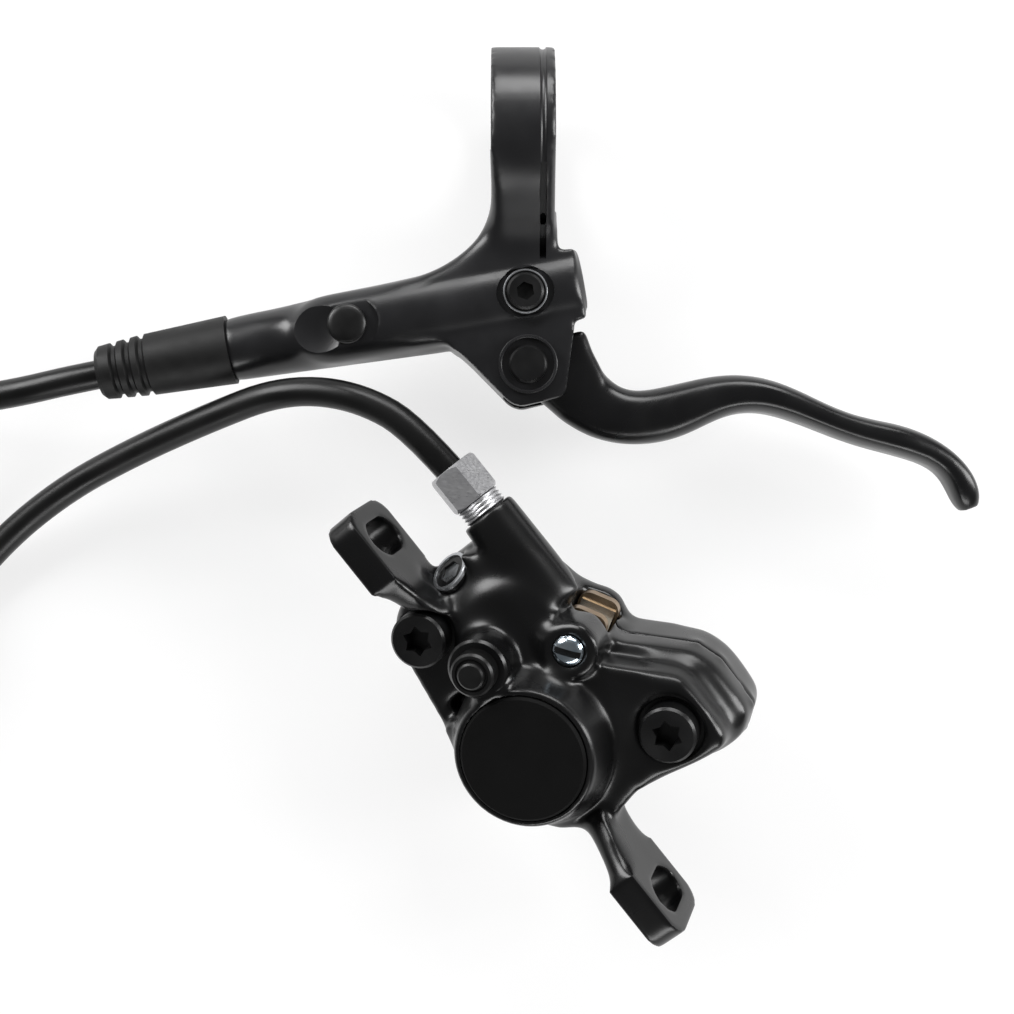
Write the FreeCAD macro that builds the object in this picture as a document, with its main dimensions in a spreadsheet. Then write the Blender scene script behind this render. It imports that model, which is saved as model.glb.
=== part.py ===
import FreeCAD, Part
import math
import os
import Sketcher

# Hydraulic disc brake: lever with its master cylinder, hose and two-piston caliper.
# It lies on a flat surface at z = 0. X runs along the handlebar, Y away from the blade, Z up.

vector = FreeCAD.Vector
rotation = FreeCAD.Rotation
placement = FreeCAD.Placement

# Driving dimensions, millimetres and degrees
DIMENSIONS = {
    # Where the two units lie
    "lever_x": -2.04,
    "lever_y": 20.43,
    "barrel_turn": 10.2,
    "caliper_x": -2.34,
    "caliper_y": -36.97,
    "caliper_height": 16.0,
    "caliper_turn": -51.34,
    "rest_tilt": 20.0,
    "hub_turn": 30.0,
    # Lever body
    "lever_arm": 12.0,
    "barrel_right": 11.8,
    "barrel_shoulder": 49.4,
    "barrel_middle": 14.0,
    "barrel_end_radius": 6.7,
    "barrel_radius": 6.9,
    "barrel_neck_radius": 5.4,
    "edge_chamfer": 0.6,
    "nipple_length": 8.0,
    "nipple_radius": 4.85,
    "pod_length": 38.1,
    "pod_half_width": 6.0,
    "pod_top": 7.8,
    "pod_edge": 1.6,
    "bore_radius": 4.5,
    "bore_length": 41.0,
    "fluid_passage_radius": 1.0,
    "hose_port_radius": 3.6,
    "hose_port_depth": 7.0,
    "clevis_half_height": 7.2,
    "slot_half_height": 4.2,
    "boss_radius": 4.95,
    "boss_half_height": 7.9,
    "neck_half_height": 6.4,
    "boss_rim": 0.6,
    # Handlebar clamp
    "bar_radius": 11.1,
    "clamp_wall": 4.4,
    "clamp_width": 10.9,
    "clamp_x": 6.07,
    "clamp_y": 26.53,
    "clamp_split": 2.0,
    "clamp_split_drop": 4.6,
    "clamp_ear_reach": 20.6,
    "clamp_ear_drop": 14.6,
    "clamp_bolt_reach": 16.3,
    "clamp_bolt_radius": 2.5,
    "clamp_head_radius": 4.2,
    "clamp_head_height": 4.0,
    # Lever blade and pivot
    "blade_half_height": 3.7,
    "hub_radius": 4.7,
    "nose_radius": 2.2,
    "nose_lead": 9.0,
    "pin_radius": 2.5,
    "pin_head_radius": 3.2,
    "pin_head_height": 1.2,
    "bush_wall": 0.8,
    "bush_flange": 0.4,
    "running_clearance": 0.05,
    "edge_break": 0.4,
    "clip_thickness": 0.6,
    # Master cylinder parts
    "rod_radius": 1.9,
    "rod_length": 7.8,
    "rod_ball_radius": 2.3,
    "piston_length": 16.0,
    "piston_land": 2.0,
    "seal_width": 2.2,
    "seal_depth": 1.3,
    "spring_wire_radius": 0.4,
    "spring_turns": 5.0,
    "bore_clip_width": 1.0,
    # Ports on top of the barrel
    "plug_x": 28.65,
    "plug_radius": 3.3,
    "plug_recess_radius": 4.35,
    "plug_recess_shift": 0.9,
    "recess_depth": 0.8,
    "plug_thread_radius": 2.2,
    "plug_thread_length": 1.9,
    "plug_height": 1.7,
    "bleed_head_height": 1.9,
    "bleed_key_depth": 1.5,
    "bleed_x": 1.7,
    "bleed_head_radius": 3.1,
    "bleed_recess_radius": 4.3,
    "bleed_key": 2.7,
    # Hose, its boot and its fittings
    "hose_radius": 2.5,
    "boot_length": 22.9,
    "boot_radius": 5.9,
    "boot_middle_radius": 5.3,
    "boot_end_radius": 4.6,
    "boot_rib_depth": 0.7,
    "boot_rib_pitch": 2.4,
    "nut_flats": 8.0,
    "nut_length": 6.8,
    "lever_nut_length": 5.2,
    "nut_reach": 2.5,
    "insert_radius": 1.1,
    "insert_length": 7.0,
    "olive_length": 2.4,
    # Caliper housings
    "front_depth": 12.5,
    "front_base_depth": 6.0,
    "saddle_x": -12.0,
    "saddle_y": 9.6,
    "saddle_radius": 9.0,
    "rear_depth": 10.0,
    "piston_x": 5.1,
    "piston_y": 1.8,
    "piston_boss_radius": 13.8,
    "piston_boss_top_radius": 11.3,
    "front_boss_depth": 19.4,
    "rear_boss_depth": 20.0,
    "rotor_radius": 80.0,
    "rotor_reach": 9.0,
    "rotor_clearance": 0.6,
    "rotor_slot_half": 1.9,
    "piston_radius": 10.4,
    "piston_depth": 6.2,
    "piston_wall": 2.0,
    "piston_seal_depth": 1.6,
    "piston_seal_width": 2.2,
    "piston_seal_reach": 2.2,
    "cover_radius": 10.5,
    "cover_thickness": 2.2,
    "cover_proud": 0.5,
    "cover_groove": 0.8,
    "body_bolt_radius": 3.0,
    "body_bolt_head_radius": 4.7,
    "body_bolt_head_height": 4.2,
    "star_outer": 2.6,
    "star_inner": 1.8,
    "star_depth": 2.6,
    "bolt_hole_rest": 2.0,
    "bolt_seat_radius": 5.4,
    "bolt_lug_radius": 5.9,
    "bolt_seat_height": 10.4,
    "left_bolt_x": -20.1,
    "left_bolt_y": -2.0,
    "right_bolt_x": 16.3,
    "right_bolt_y": 21.8,
    "slot_spacing": 74.2,
    "slot_length": 10.5,
    "slot_width": 6.4,
    "tab_top": 4.3,
    "tab_thickness": 5.2,
    "tab_near": 4.0,
    "tab_far": 20.0,
    "tab_end": 6.2,
    "tab_corner": 3.6,
    "arm_step": 0.5,
    "arm_start": 6.8,
    "arm_length": 10.2,
    "bleed_boss_x": -10.8,
    "bleed_boss_y": 5.3,
    "bleed_boss_radius": 5.1,
    "bleed_boss_depth": 19.6,
    "nipple_thread_radius": 2.4,
    "cap_radius": 3.6,
    "hose_boss_x": -29.7,
    "hose_boss_y": 18.4,
    "hose_boss_z": 6.0,
    "hose_boss_radius": 4.9,
    "hose_boss_length": 20.0,
    "side_port_x": -25.2,
    "side_port_y": 7.4,
    "side_port_z": 7.4,
    "side_port_lean": 35.0,
    "side_port_radius": 3.7,
    "side_port_wall": 0.9,
    "side_thread_radius": 2.8,
    "side_seat_depth": 0.9,
    "side_thread_length": 4.1,
    "side_boss_length": 5.0,
    "side_plug_height": 0.6,
    # Pads
    "pad_half_width": 11.5,
    "pad_bottom": -9.5,
    "pad_top": 9.5,
    "pad_ear_half": 3.6,
    "pad_ear_top": 22.6,
    "pad_plate": 1.8,
    "pad_lining": 2.0,
    "pad_clearance": 0.35,
    "pad_pin_reach": 18.2,
    "pad_pin_radius": 1.6,
    "pad_pin_head_radius": 2.5,
    "pad_lug_radius": 5.0,
    "pad_bevel": 3.0,
    "pin_slot": 0.8,
    "pin_slot_depth": 0.7,
    "pin_tail": 2.0,
    "spring_strip": 0.4,
    "pad_pin_head_height": 1.2,
    "pin_clip_radius": 2.9,
}


class Size:
    """A length that knows its value and the words that the sheet knows it by."""

    def __init__(self, value, words):
        self.value = value
        self.words = words

    def joined(self, other, sign, value):
        return Size(value, f"({self.words} {sign} {as_size(other).words})")

    def __add__(self, other):
        return self.joined(other, "+", self.value + as_size(other).value)

    def __radd__(self, other):
        return as_size(other) + self

    def __sub__(self, other):
        return self.joined(other, "-", self.value - as_size(other).value)

    def __rsub__(self, other):
        return as_size(other) - self

    def __mul__(self, other):
        return self.joined(other, "*", self.value * as_size(other).value)

    def __rmul__(self, other):
        return as_size(other) * self

    def __truediv__(self, other):
        return self.joined(other, "/", self.value / as_size(other).value)

    def __neg__(self):
        return Size(-self.value, f"(0 - {self.words})")


def as_size(number):
    return number if isinstance(number, Size) else Size(float(number), f"({number})")


class Names:
    """The driving dimensions by name."""


doc = FreeCAD.newDocument("disc_brake")
sheet = doc.addObject("Spreadsheet::Sheet", "Sizes")
d = Names()
for row, (name, number) in enumerate(DIMENSIONS.items(), start=1):
    sheet.set(f"A{row}", name)
    sheet.set(f"B{row}", str(number))
    sheet.setAlias(f"B{row}", name)
    setattr(d, name, Size(number, f"Sizes.{name}"))
doc.recompute()


# Frames of the two units
def turn(axis, degrees):
    return rotation(vector(*axis), degrees)


clamp_radius = d.bar_radius + d.clamp_wall
lever_turn = turn((0, 0, 1), d.barrel_turn.value)
lever_pivot = vector(d.lever_x.value, d.lever_y.value, clamp_radius.value)
lever_frame = placement(lever_pivot + lever_turn.multVec(vector(0, d.lever_arm.value, 0)), lever_turn)
caliper_rotation = turn((0, 0, 1), d.caliper_turn.value) * turn((1, 0, 0), d.rest_tilt.value)
caliper_frame = placement(
    vector(d.caliper_x.value, d.caliper_y.value, d.caliper_height.value), caliper_rotation)
piston_frame = caliper_frame * placement(
    vector(d.piston_x.value, d.piston_y.value, 0), turn((0, 0, 1), d.hub_turn.value))


# Sketches and features
def new_body(name, frame):
    body = doc.addObject("PartDesign::Body", name)
    body.Label = name
    body.Placement = frame
    return body


def new_sketch(body, plane, place=(0, 0, 0), turned=None):
    """Sketch on a plane of its body. The place and turn are in the plane's own axes."""
    sketch = body.newObject("Sketcher::SketchObject", f"{body.Name}_sketch")
    roles = {feature.Role: feature for feature in body.Origin.OriginFeatures}
    sketch.AttachmentSupport = (roles[plane], [""])
    sketch.MapMode = "FlatFace"
    lengths = [as_size(value) for value in place]
    sketch.AttachmentOffset = placement(vector(*(length.value for length in lengths)), turned or rotation())
    for axis, length in zip("xyz", lengths):
        sketch.setExpression(f"AttachmentOffset.Base.{axis}", length.words)
    return sketch


def fix_point(sketch, geometry, position, x, y):
    for kind, length in (("DistanceX", as_size(x)), ("DistanceY", as_size(y))):
        index = sketch.addConstraint(
            Sketcher.Constraint(kind, -1, 1, geometry, position, length.value))
        sketch.setExpression(f"Constraints[{index}]", length.words)


def fix_radius(sketch, geometry, radius):
    index = sketch.addConstraint(Sketcher.Constraint("Radius", geometry, radius.value))
    sketch.setExpression(f"Constraints[{index}]", radius.words)


def draw_circle(sketch, x, y, radius):
    radius = as_size(radius)
    centre = vector(as_size(x).value, as_size(y).value, 0)
    geometry = sketch.addGeometry(Part.Circle(centre, vector(0, 0, 1), radius.value))
    fix_radius(sketch, geometry, radius)
    fix_point(sketch, geometry, 3, x, y)


def draw_outline(sketch, corners):
    """Closed outline. A third value is the radius of the arc that ends at the corner, + for left."""
    corners = [tuple(as_size(value) for value in corner) for corner in corners]
    ends = []
    for start, end in zip(corners, corners[1:] + corners[:1]):
        first = vector(start[0].value, start[1].value, 0)
        last = vector(end[0].value, end[1].value, 0)
        if len(end) == 2:
            ends.append((sketch.addGeometry(Part.LineSegment(first, last)), 1, 2))
            continue
        radius = end[2].value
        chord = last - first
        side = vector(-chord.y, chord.x, 0).normalize() * math.copysign(1, radius)
        centre = (first + last) * 0.5 + side * math.sqrt(radius ** 2 - (chord.Length / 2) ** 2)
        circle = Part.Circle(centre, vector(0, 0, 1), abs(radius))
        low, high = (first, last) if radius > 0 else (last, first)
        arc = Part.ArcOfCircle(circle, *(math.atan2(p.y - centre.y, p.x - centre.x) for p in (low, high)))
        geometry = sketch.addGeometry(arc)
        ends.append((geometry, 1, 2) if radius > 0 else (geometry, 2, 1))
        fix_radius(sketch, geometry, end[2] if radius > 0 else -end[2])
    for (geometry, first, _), (before, _, last), corner in zip(ends, ends[-1:] + ends[:-1], corners):
        sketch.addConstraint(Sketcher.Constraint("Coincident", before, last, geometry, first))
        fix_point(sketch, geometry, first, corner[0], corner[1])


def draw_box(sketch, left, right, bottom, top):
    draw_outline(sketch, [(left, bottom), (right, bottom), (right, top), (left, top)])


def draw_hexagon(sketch, flats):
    corner = flats / math.sqrt(3)
    points = [(corner * math.cos(math.radians(60 * i)), corner * math.sin(math.radians(60 * i)))
              for i in range(6)]
    draw_outline(sketch, points)


def grow(body, kind, sketch, length, both=False, back=False):
    feature = body.newObject(f"PartDesign::{kind}", f"{body.Name}_{kind.lower()}")
    feature.Profile = sketch
    feature.setExpression("Length", as_size(length).words)
    feature.SideType = "Symmetric" if both else "One side"
    feature.Reversed = back
    doc.recompute()
    if feature.Shape.isNull():
        raise RuntimeError(f"{feature.Name} of {body.Label} failed")
    return feature


def pad(body, sketch, length, both=False, back=False):
    return grow(body, "Pad", sketch, length, both, back)


def pocket(body, sketch, length, both=False, back=False):
    before = body.Shape.Volume
    feature = grow(body, "Pocket", sketch, length, both, back)
    if body.Shape.Volume > before - 1e-3:
        raise RuntimeError(f"{feature.Name} of {body.Label} cuts nothing")
    return feature


def spin(body, kind, sketch, axis="H_Axis"):
    before = body.Shape.Volume if kind == "Groove" else 0
    feature = body.newObject(f"PartDesign::{kind}", f"{body.Name}_{kind.lower()}")
    feature.Profile = sketch
    feature.ReferenceAxis = (sketch, [axis])
    feature.Angle = 360
    doc.recompute()
    if kind == "Groove" and body.Shape.Volume > before - 1e-3:
        raise RuntimeError(f"{feature.Name} of {body.Label} cuts nothing")
    return feature


def soften(body, kind, size, chosen):
    """Fillet or chamfer on the edges of the last feature that the test chooses."""
    base = body.Tip
    names = [f"Edge{i}" for i, edge in enumerate(base.Shape.Edges, start=1) if chosen(edge)]
    feature = body.newObject(f"PartDesign::{kind}", f"{body.Name}_{kind.lower()}")
    feature.Base = (base, names)
    feature.setExpression("Radius" if kind == "Fillet" else "Size", as_size(size).words)
    doc.recompute()
    return feature


def turned_piece(name, frame, profile, plane="XY_Plane"):
    """Turned part: its half profile spun round the X axis of its frame."""
    body = new_body(name, frame)
    sketch = new_sketch(body, plane)
    draw_outline(sketch, profile)
    spin(body, "Revolution", sketch)
    return body


def ring_profile(left, right, inner, outer):
    return [(left, inner), (right, inner), (right, outer), (left, outer)]


def plain_piece(name, shape, frame):
    piece = doc.addObject("Part::Feature", name)
    piece.Label = name
    piece.Shape = shape
    piece.Placement = frame
    return piece


def upright(frame, x, y, z):
    """Frame whose X axis points up the Z axis of the given one."""
    return frame * placement(vector(as_size(x).value, as_size(y).value, as_size(z).value),
                             turn((0, 1, 0), -90))


c = d.running_clearance

# Lever body: turned barrel, flat pod for the ports, forked clevis, neck and handlebar clamp
lever_body = new_body("lever_body", lever_frame)
sketch = new_sketch(lever_body, "XY_Plane")
draw_outline(sketch, [
    (-d.barrel_shoulder - d.nipple_length, 0),
    (-d.barrel_shoulder - d.nipple_length, d.nipple_radius),
    (-d.barrel_shoulder, d.nipple_radius),
    (-d.barrel_shoulder, d.barrel_neck_radius),
    (-d.barrel_middle, d.barrel_radius),
    (d.barrel_right - d.edge_chamfer, d.barrel_end_radius),
    (d.barrel_right, d.barrel_end_radius - d.edge_chamfer),
    (d.barrel_right, 0)])
spin(lever_body, "Revolution", sketch)


# Flat pod with the two ports
sketch = new_sketch(lever_body, "XY_Plane")
draw_outline(sketch, [
    (-d.pod_length, 0, d.pod_half_width),
    (-d.pod_length + d.pod_half_width, -d.pod_half_width, d.pod_half_width),
    (d.barrel_right - d.edge_chamfer, -d.pod_half_width),
    (d.barrel_right - d.edge_chamfer, d.pod_half_width),
    (-d.pod_length + d.pod_half_width, d.pod_half_width)])
pad(lever_body, sketch, d.pod_top)
soften(lever_body, "Fillet", d.pod_edge,
       lambda edge: all(abs(v.Z - d.pod_top.value) < 1e-3 for v in edge.Vertexes))

# Clevis round the pivot, its outline measured from the pivot
clevis_outline = [
    (-13.5, 7.0), (-11.2, 4.3, 6.0), (-9.5, 2.1), (-4.9, -4.6), (-1.7, -6.7, 4.0), (4.4, -6.3),
    (5.6, -5.2, 2.0), (8.9, 5.1), (8.9, 12.0), (-13.5, 12.0)]
sketch = new_sketch(lever_body, "XY_Plane", (0, -d.lever_arm, 0))
draw_outline(sketch, clevis_outline)
pad(lever_body, sketch, d.clevis_half_height * 2, both=True)
sketch = new_sketch(lever_body, "XY_Plane", (0, -d.lever_arm, 0))
draw_circle(sketch, 0, 0, d.boss_radius)
pad(lever_body, sketch, d.boss_half_height * 2, both=True)

# Neck that spreads into the barrel, measured from the barrel axis above the pivot
neck_outline = [
    (-19.0, 3.0), (8.0, 3.0), (10.0, 17.5), (-0.4, 18.3), (-5.0, 10.4, -16.0), (-19.0, 5.9, -24.0)]
sketch = new_sketch(lever_body, "XY_Plane")
draw_outline(sketch, neck_outline)
pad(lever_body, sketch, d.neck_half_height * 2, both=True)

# Handlebar clamp, drawn in a plane square to the bar
clamp_place = (d.clamp_y, 0, d.clamp_x)
square_to_bar = turn((0, 1, 0), -d.barrel_turn.value)
sketch = new_sketch(lever_body, "YZ_Plane", clamp_place, square_to_bar)
draw_circle(sketch, 0, 0, clamp_radius)
pad(lever_body, sketch, d.clamp_width, both=True)
sketch = new_sketch(lever_body, "YZ_Plane", clamp_place, square_to_bar)
draw_box(sketch, -d.clamp_ear_reach, -d.bar_radius * 0.8, -d.clamp_ear_drop, d.neck_half_height)
pad(lever_body, sketch, d.clamp_width, both=True)
sketch = new_sketch(lever_body, "YZ_Plane", clamp_place, square_to_bar)
draw_circle(sketch, 0, 0, d.bar_radius)
pocket(lever_body, sketch, d.clamp_width * 2, both=True)
sketch = new_sketch(lever_body, "YZ_Plane", clamp_place, square_to_bar)
draw_box(sketch, -d.clamp_ear_reach * 1.1, -d.bar_radius * 0.7,
         -d.clamp_split_drop - d.clamp_split, -d.clamp_split_drop)
pocket(lever_body, sketch, d.clamp_width * 2, both=True)
bar_turn = math.radians(d.barrel_turn.value)
bolt_x = d.clamp_x - d.clamp_bolt_reach * math.sin(bar_turn)
bolt_y = d.clamp_y - d.clamp_bolt_reach * math.cos(bar_turn)
for radius, depth in ((d.clamp_bolt_radius + c, d.clamp_ear_drop + 3),
                      (d.clamp_head_radius + 4 * c, d.clamp_head_height)):
    sketch = new_sketch(lever_body, "XY_Plane", (bolt_x, bolt_y, -d.clamp_ear_drop))
    draw_circle(sketch, 0, 0, radius)
    pocket(lever_body, sketch, depth, back=True)

# Master cylinder bore, fluid passage and hose port
port_mouth = d.barrel_shoulder + d.nipple_length
bore_mouth = d.nose_radius
clip_place = d.nose_radius + 2.9
sketch = new_sketch(lever_body, "XY_Plane")
draw_outline(sketch, [
    (-port_mouth, 0), (-port_mouth, d.hose_port_radius),
    (-port_mouth + d.hose_port_depth, d.hose_port_radius),
    (-port_mouth + d.hose_port_depth, d.fluid_passage_radius),
    (-d.bore_length, d.fluid_passage_radius), (-d.bore_length, d.bore_radius),
    (-clip_place - d.bore_clip_width, d.bore_radius),
    (-clip_place - d.bore_clip_width, d.bore_radius + 0.5),
    (-clip_place, d.bore_radius + 0.5), (-clip_place, d.bore_radius),
    (bore_mouth, d.bore_radius), (bore_mouth, 0)])
spin(lever_body, "Groove", sketch)

# Room for the blade's hub, arm and root
for left, right, top in ((-4.8, 7.5, 3.6), (7.4, 14.0, -3.4)):
    sketch = new_sketch(lever_body, "XY_Plane")
    draw_box(sketch, left, right, -d.lever_arm - 12, top)
    pocket(lever_body, sketch, d.slot_half_height * 2, both=True)

# Pivot hole with a seat for the pin head, and the two ports
sketch = new_sketch(lever_body, "XY_Plane", (0, -d.lever_arm, 0))
draw_circle(sketch, 0, 0, d.pin_radius + c)
pocket(lever_body, sketch, d.boss_half_height * 3, both=True)
for x, y, top, radius, depth in (
        (0, -d.lever_arm, d.boss_half_height, d.boss_radius - d.boss_rim, d.pin_head_height),
        (-d.plug_x + d.plug_recess_shift, 0, d.pod_top, d.plug_recess_radius, d.recess_depth),
        (-d.plug_x, 0, d.pod_top, d.plug_thread_radius + c, d.recess_depth + d.plug_thread_length + c),
        (d.bleed_x, 0, d.pod_top, d.bleed_recess_radius, d.recess_depth),
        (d.bleed_x, 0, d.pod_top, d.plug_thread_radius + c, d.recess_depth + d.plug_thread_length + c)):
    sketch = new_sketch(lever_body, "XY_Plane", (x, y, top))
    draw_circle(sketch, 0, 0, radius)
    pocket(lever_body, sketch, depth)

# Clamp bolt, head down, its axis up
clamp_bolt = turned_piece("clamp_bolt", upright(lever_frame, bolt_x, bolt_y, 0), [
    (-d.clamp_ear_drop, 0), (-d.clamp_ear_drop, d.clamp_head_radius),
    (-d.clamp_ear_drop + d.clamp_head_height, d.clamp_head_radius),
    (-d.clamp_ear_drop + d.clamp_head_height, d.clamp_bolt_radius),
    (2.5, d.clamp_bolt_radius), (2.5, 0)])
sketch = new_sketch(clamp_bolt, "YZ_Plane", (0, 0, -d.clamp_ear_drop))
draw_hexagon(sketch, d.clamp_head_radius)
pocket(clamp_bolt, sketch, d.clamp_head_height / 2, back=True)

# Port plug and bleed screw, each in its recess on the pod
recess_floor = d.pod_top - d.recess_depth
thread_end = recess_floor - d.plug_thread_length


def port_screw(name, x, radius, height):
    top = recess_floor + height
    return turned_piece(name, upright(lever_frame, x, 0, 0), [
        (thread_end, 0), (top, 0), (top, radius - d.edge_break), (top - d.edge_break, radius),
        (recess_floor + c, radius), (recess_floor + c, d.plug_thread_radius),
        (thread_end, d.plug_thread_radius)])


port_screw("port_plug", -d.plug_x, d.plug_radius, d.plug_height)
bleed_screw = port_screw("bleed_screw", d.bleed_x, d.bleed_head_radius, d.bleed_head_height)
sketch = new_sketch(bleed_screw, "YZ_Plane", (0, 0, recess_floor + d.bleed_head_height))
draw_hexagon(sketch, d.bleed_key)
pocket(bleed_screw, sketch, d.bleed_key_depth)
turned_piece("bleed_screw_o_ring", upright(lever_frame, d.bleed_x, 0, 0), ring_profile(
    recess_floor + c, recess_floor + 0.9, d.bleed_head_radius + c, d.bleed_recess_radius - 0.4))

# Pivot pin, its clip and the two flanged bushes pressed into the blade
pivot_frame = placement(lever_pivot, rotation())
pin_frame = upright(pivot_frame, 0, 0, 0)
pin_seat = d.boss_half_height - d.pin_head_height
clip_top = -d.boss_half_height - c
turned_piece("pivot_pin", pin_frame, [
    (clip_top - 1.6, 0), (d.boss_half_height, 0), (d.boss_half_height, d.pin_head_radius - 0.4),
    (d.boss_half_height - 0.4, d.pin_head_radius), (pin_seat + c, d.pin_head_radius),
    (pin_seat + c, d.pin_radius), (clip_top, d.pin_radius), (clip_top, d.pin_radius - 0.5),
    (clip_top - 0.8, d.pin_radius - 0.5), (clip_top - 0.8, d.pin_radius),
    (clip_top - 1.2, d.pin_radius), (clip_top - 1.6, d.pin_radius - 0.4)])
pin_clip = turned_piece("pivot_pin_clip", pin_frame, ring_profile(
    clip_top - 0.7, clip_top - 0.1, d.pin_radius - 0.45, d.pin_radius + 1.5))
sketch = new_sketch(pin_clip, "YZ_Plane")
draw_box(sketch, 0, d.pin_radius * 2, -1.2, 1.2)
pocket(pin_clip, sketch, d.boss_half_height * 4, both=True)
bush_radius = d.pin_radius + c + d.bush_wall
for name, side in (("pivot_bush_upper", 1), ("pivot_bush_lower", -1)):
    near, far = 0.3 * side, d.blade_half_height * side
    turned_piece(name, pin_frame, [
        (near, d.pin_radius + c), (far + d.bush_flange * side, d.pin_radius + c),
        (far + d.bush_flange * side, d.hub_radius - 0.3), (far + 0.02 * side, d.hub_radius - 0.3),
        (far + 0.02 * side, bush_radius), (near, bush_radius)])

# Lever blade: lofted through sections along its bent middle line, measured from the pivot.
# Each row holds the middle's X and Y, the width and the half height.
blade_stations = [
    (2.0, -1.2, 8.2, 3.5), (8.8, -4.2, 11.4, 3.7), (14.6, -8.0, 9.7, 4.0), (22.4, -8.2, 9.2, 4.9),
    (30.6, -5.7, 7.7, 5.6), (38.1, -4.7, 6.2, 5.9), (47.0, -7.2, 5.0, 5.8), (59.4, -11.6, 5.0, 5.7),
    (67.4, -14.0, 4.8, 5.3), (72.0, -17.0, 4.5, 4.7), (74.5, -20.8, 4.8, 4.0), (75.7, -24.2, 2.9, 2.0)]


def section_wire(x, y, heading, width, half_height):
    """Rounded section square to the heading, as four quarter curves."""
    across = vector(-math.sin(heading), math.cos(heading), 0)
    middle = vector(x, y, 0)
    quarters = []
    for quarter in range(4):
        points = []
        for step in range(5):
            angle = math.radians(90 * quarter + 22.5 * step + 45)
            bulge = (abs(math.cos(angle)) ** 2.8 + abs(math.sin(angle)) ** 2.8) ** (-1 / 2.8)
            points.append(middle + across * (width / 2 * bulge * math.cos(angle))
                          + vector(0, 0, half_height * bulge * math.sin(angle)))
        curve = Part.BSplineCurve()
        curve.interpolate(Points=points)
        quarters.append(curve.toShape())
    return Part.Wire(quarters)


sections = []
for i, (x, y, width, half_height) in enumerate(blade_stations):
    before = blade_stations[max(i - 1, 0)]
    after = blade_stations[min(i + 1, len(blade_stations) - 1)]
    heading = math.atan2(after[1] - before[1], after[0] - before[0])
    sections.append(section_wire(x, y, heading, width, half_height))
finger_part = Part.makeLoft(sections, True, False)
half = d.blade_half_height.value
hub = Part.makeCylinder(d.hub_radius.value, 2 * half, vector(0, 0, -half))
root_outline = [
    (0.0, -4.4), (9.0, -4.0), (13.4, -2.6), (12.2, 0.4), (11.0, 2.6), (9.7, 6.4), (3.0, 4.2), (-1.5, 3.5)]
root_points = [vector(x, y, -half) for x, y in root_outline]
root = Part.Face(Part.makePolygon(root_points + root_points[:1])).extrude(vector(0, 0, 2 * half))
lead = math.radians(d.nose_lead.value)
nose_half = 3.1
nose_radius = d.nose_radius.value
arm_length = d.lever_arm.value
nose_centre = vector(arm_length * math.sin(lead), arm_length * math.cos(lead), -nose_half)
nose = Part.makeCylinder(nose_radius, 2 * nose_half, nose_centre)
arm = Part.makeBox(2 * nose_radius, arm_length, 2 * nose_half, vector(-nose_radius, 0, -nose_half))
arm.rotate(vector(0, 0, 0), vector(0, 0, 1), -d.nose_lead.value)
pin_hole = Part.makeCylinder(bush_radius.value + c.value, 4 * half, vector(0, 0, -2 * half))
pivot_part = hub.fuse([arm, nose]).fuse(root).removeSplitter()
blade = pivot_part.fuse(finger_part).cut(pin_hole).removeSplitter()
plain_piece("lever_blade", blade, pivot_frame)

# Master cylinder parts, along the barrel from the blade's nose to the left
nose_touch = d.lever_arm * math.sin(lead) - d.nose_radius
rod_right = nose_touch - c
rod_left = rod_right - d.rod_length
ball_centre = rod_left + d.rod_ball_radius
ball_start = ball_centre + math.sqrt(d.rod_ball_radius.value ** 2 - d.rod_radius.value ** 2)
turned_piece("push_rod", lever_frame, [
    (rod_right, 0), (rod_right, d.rod_radius + 0.6), (rod_right - 0.9, d.rod_radius + 0.6),
    (rod_right - 0.9, d.rod_radius), (ball_start, d.rod_radius), (rod_left, 0, d.rod_ball_radius)])
piston_right = rod_left + d.rod_ball_radius * 0.8
piston_left = piston_right - d.piston_length
land = d.piston_land
bore_fit = d.bore_radius - c
groove_floor = bore_fit - d.seal_depth
turned_piece("master_piston", lever_frame, [
    (piston_left, 0), (rod_left - c, 0), (rod_left - c, d.rod_ball_radius + 2 * c),
    (piston_right, d.rod_ball_radius + 2 * c), (piston_right, bore_fit),
    (piston_right - land, bore_fit), (piston_right - land, groove_floor),
    (piston_right - land - d.seal_width, groove_floor), (piston_right - land - d.seal_width, bore_fit),
    (piston_right - 2 * land - d.seal_width, bore_fit),
    (piston_right - 2 * land - d.seal_width, groove_floor),
    (piston_left + 2 * land + d.seal_width, groove_floor), (piston_left + 2 * land + d.seal_width, bore_fit),
    (piston_left + land + d.seal_width, bore_fit), (piston_left + land + d.seal_width, groove_floor),
    (piston_left + land, groove_floor), (piston_left + land, bore_fit), (piston_left, bore_fit)])
seal_places = {"secondary_seal": piston_right - land, "primary_cup": piston_left + land + d.seal_width}
for name, right in seal_places.items():
    turned_piece(name, lever_frame, ring_profile(
        right - d.seal_width + c, right - c, groove_floor + c, bore_fit))
turned_piece("bore_clip", lever_frame, ring_profile(
    -clip_place - d.bore_clip_width + c, -clip_place - c, d.rod_radius + 0.9, d.bore_radius + 0.4))


def coil_spring(name, frame, radius, wire_radius, length, turns):
    """Round wire coil along the X axis of its frame."""
    pitch = (length - 2 * wire_radius) / turns
    helix = Part.makeHelix(pitch, pitch * turns, radius)
    ring = Part.Wire([Part.Circle(vector(radius, 0, 0), vector(0, 1, 0), wire_radius).toShape()])
    coil = Part.Wire(helix.Edges).makePipeShell([ring], True, True)
    coil.translate(vector(0, 0, wire_radius))
    plain_piece(name, coil, frame * placement(vector(0, 0, 0), turn((0, 1, 0), 90)))


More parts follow.
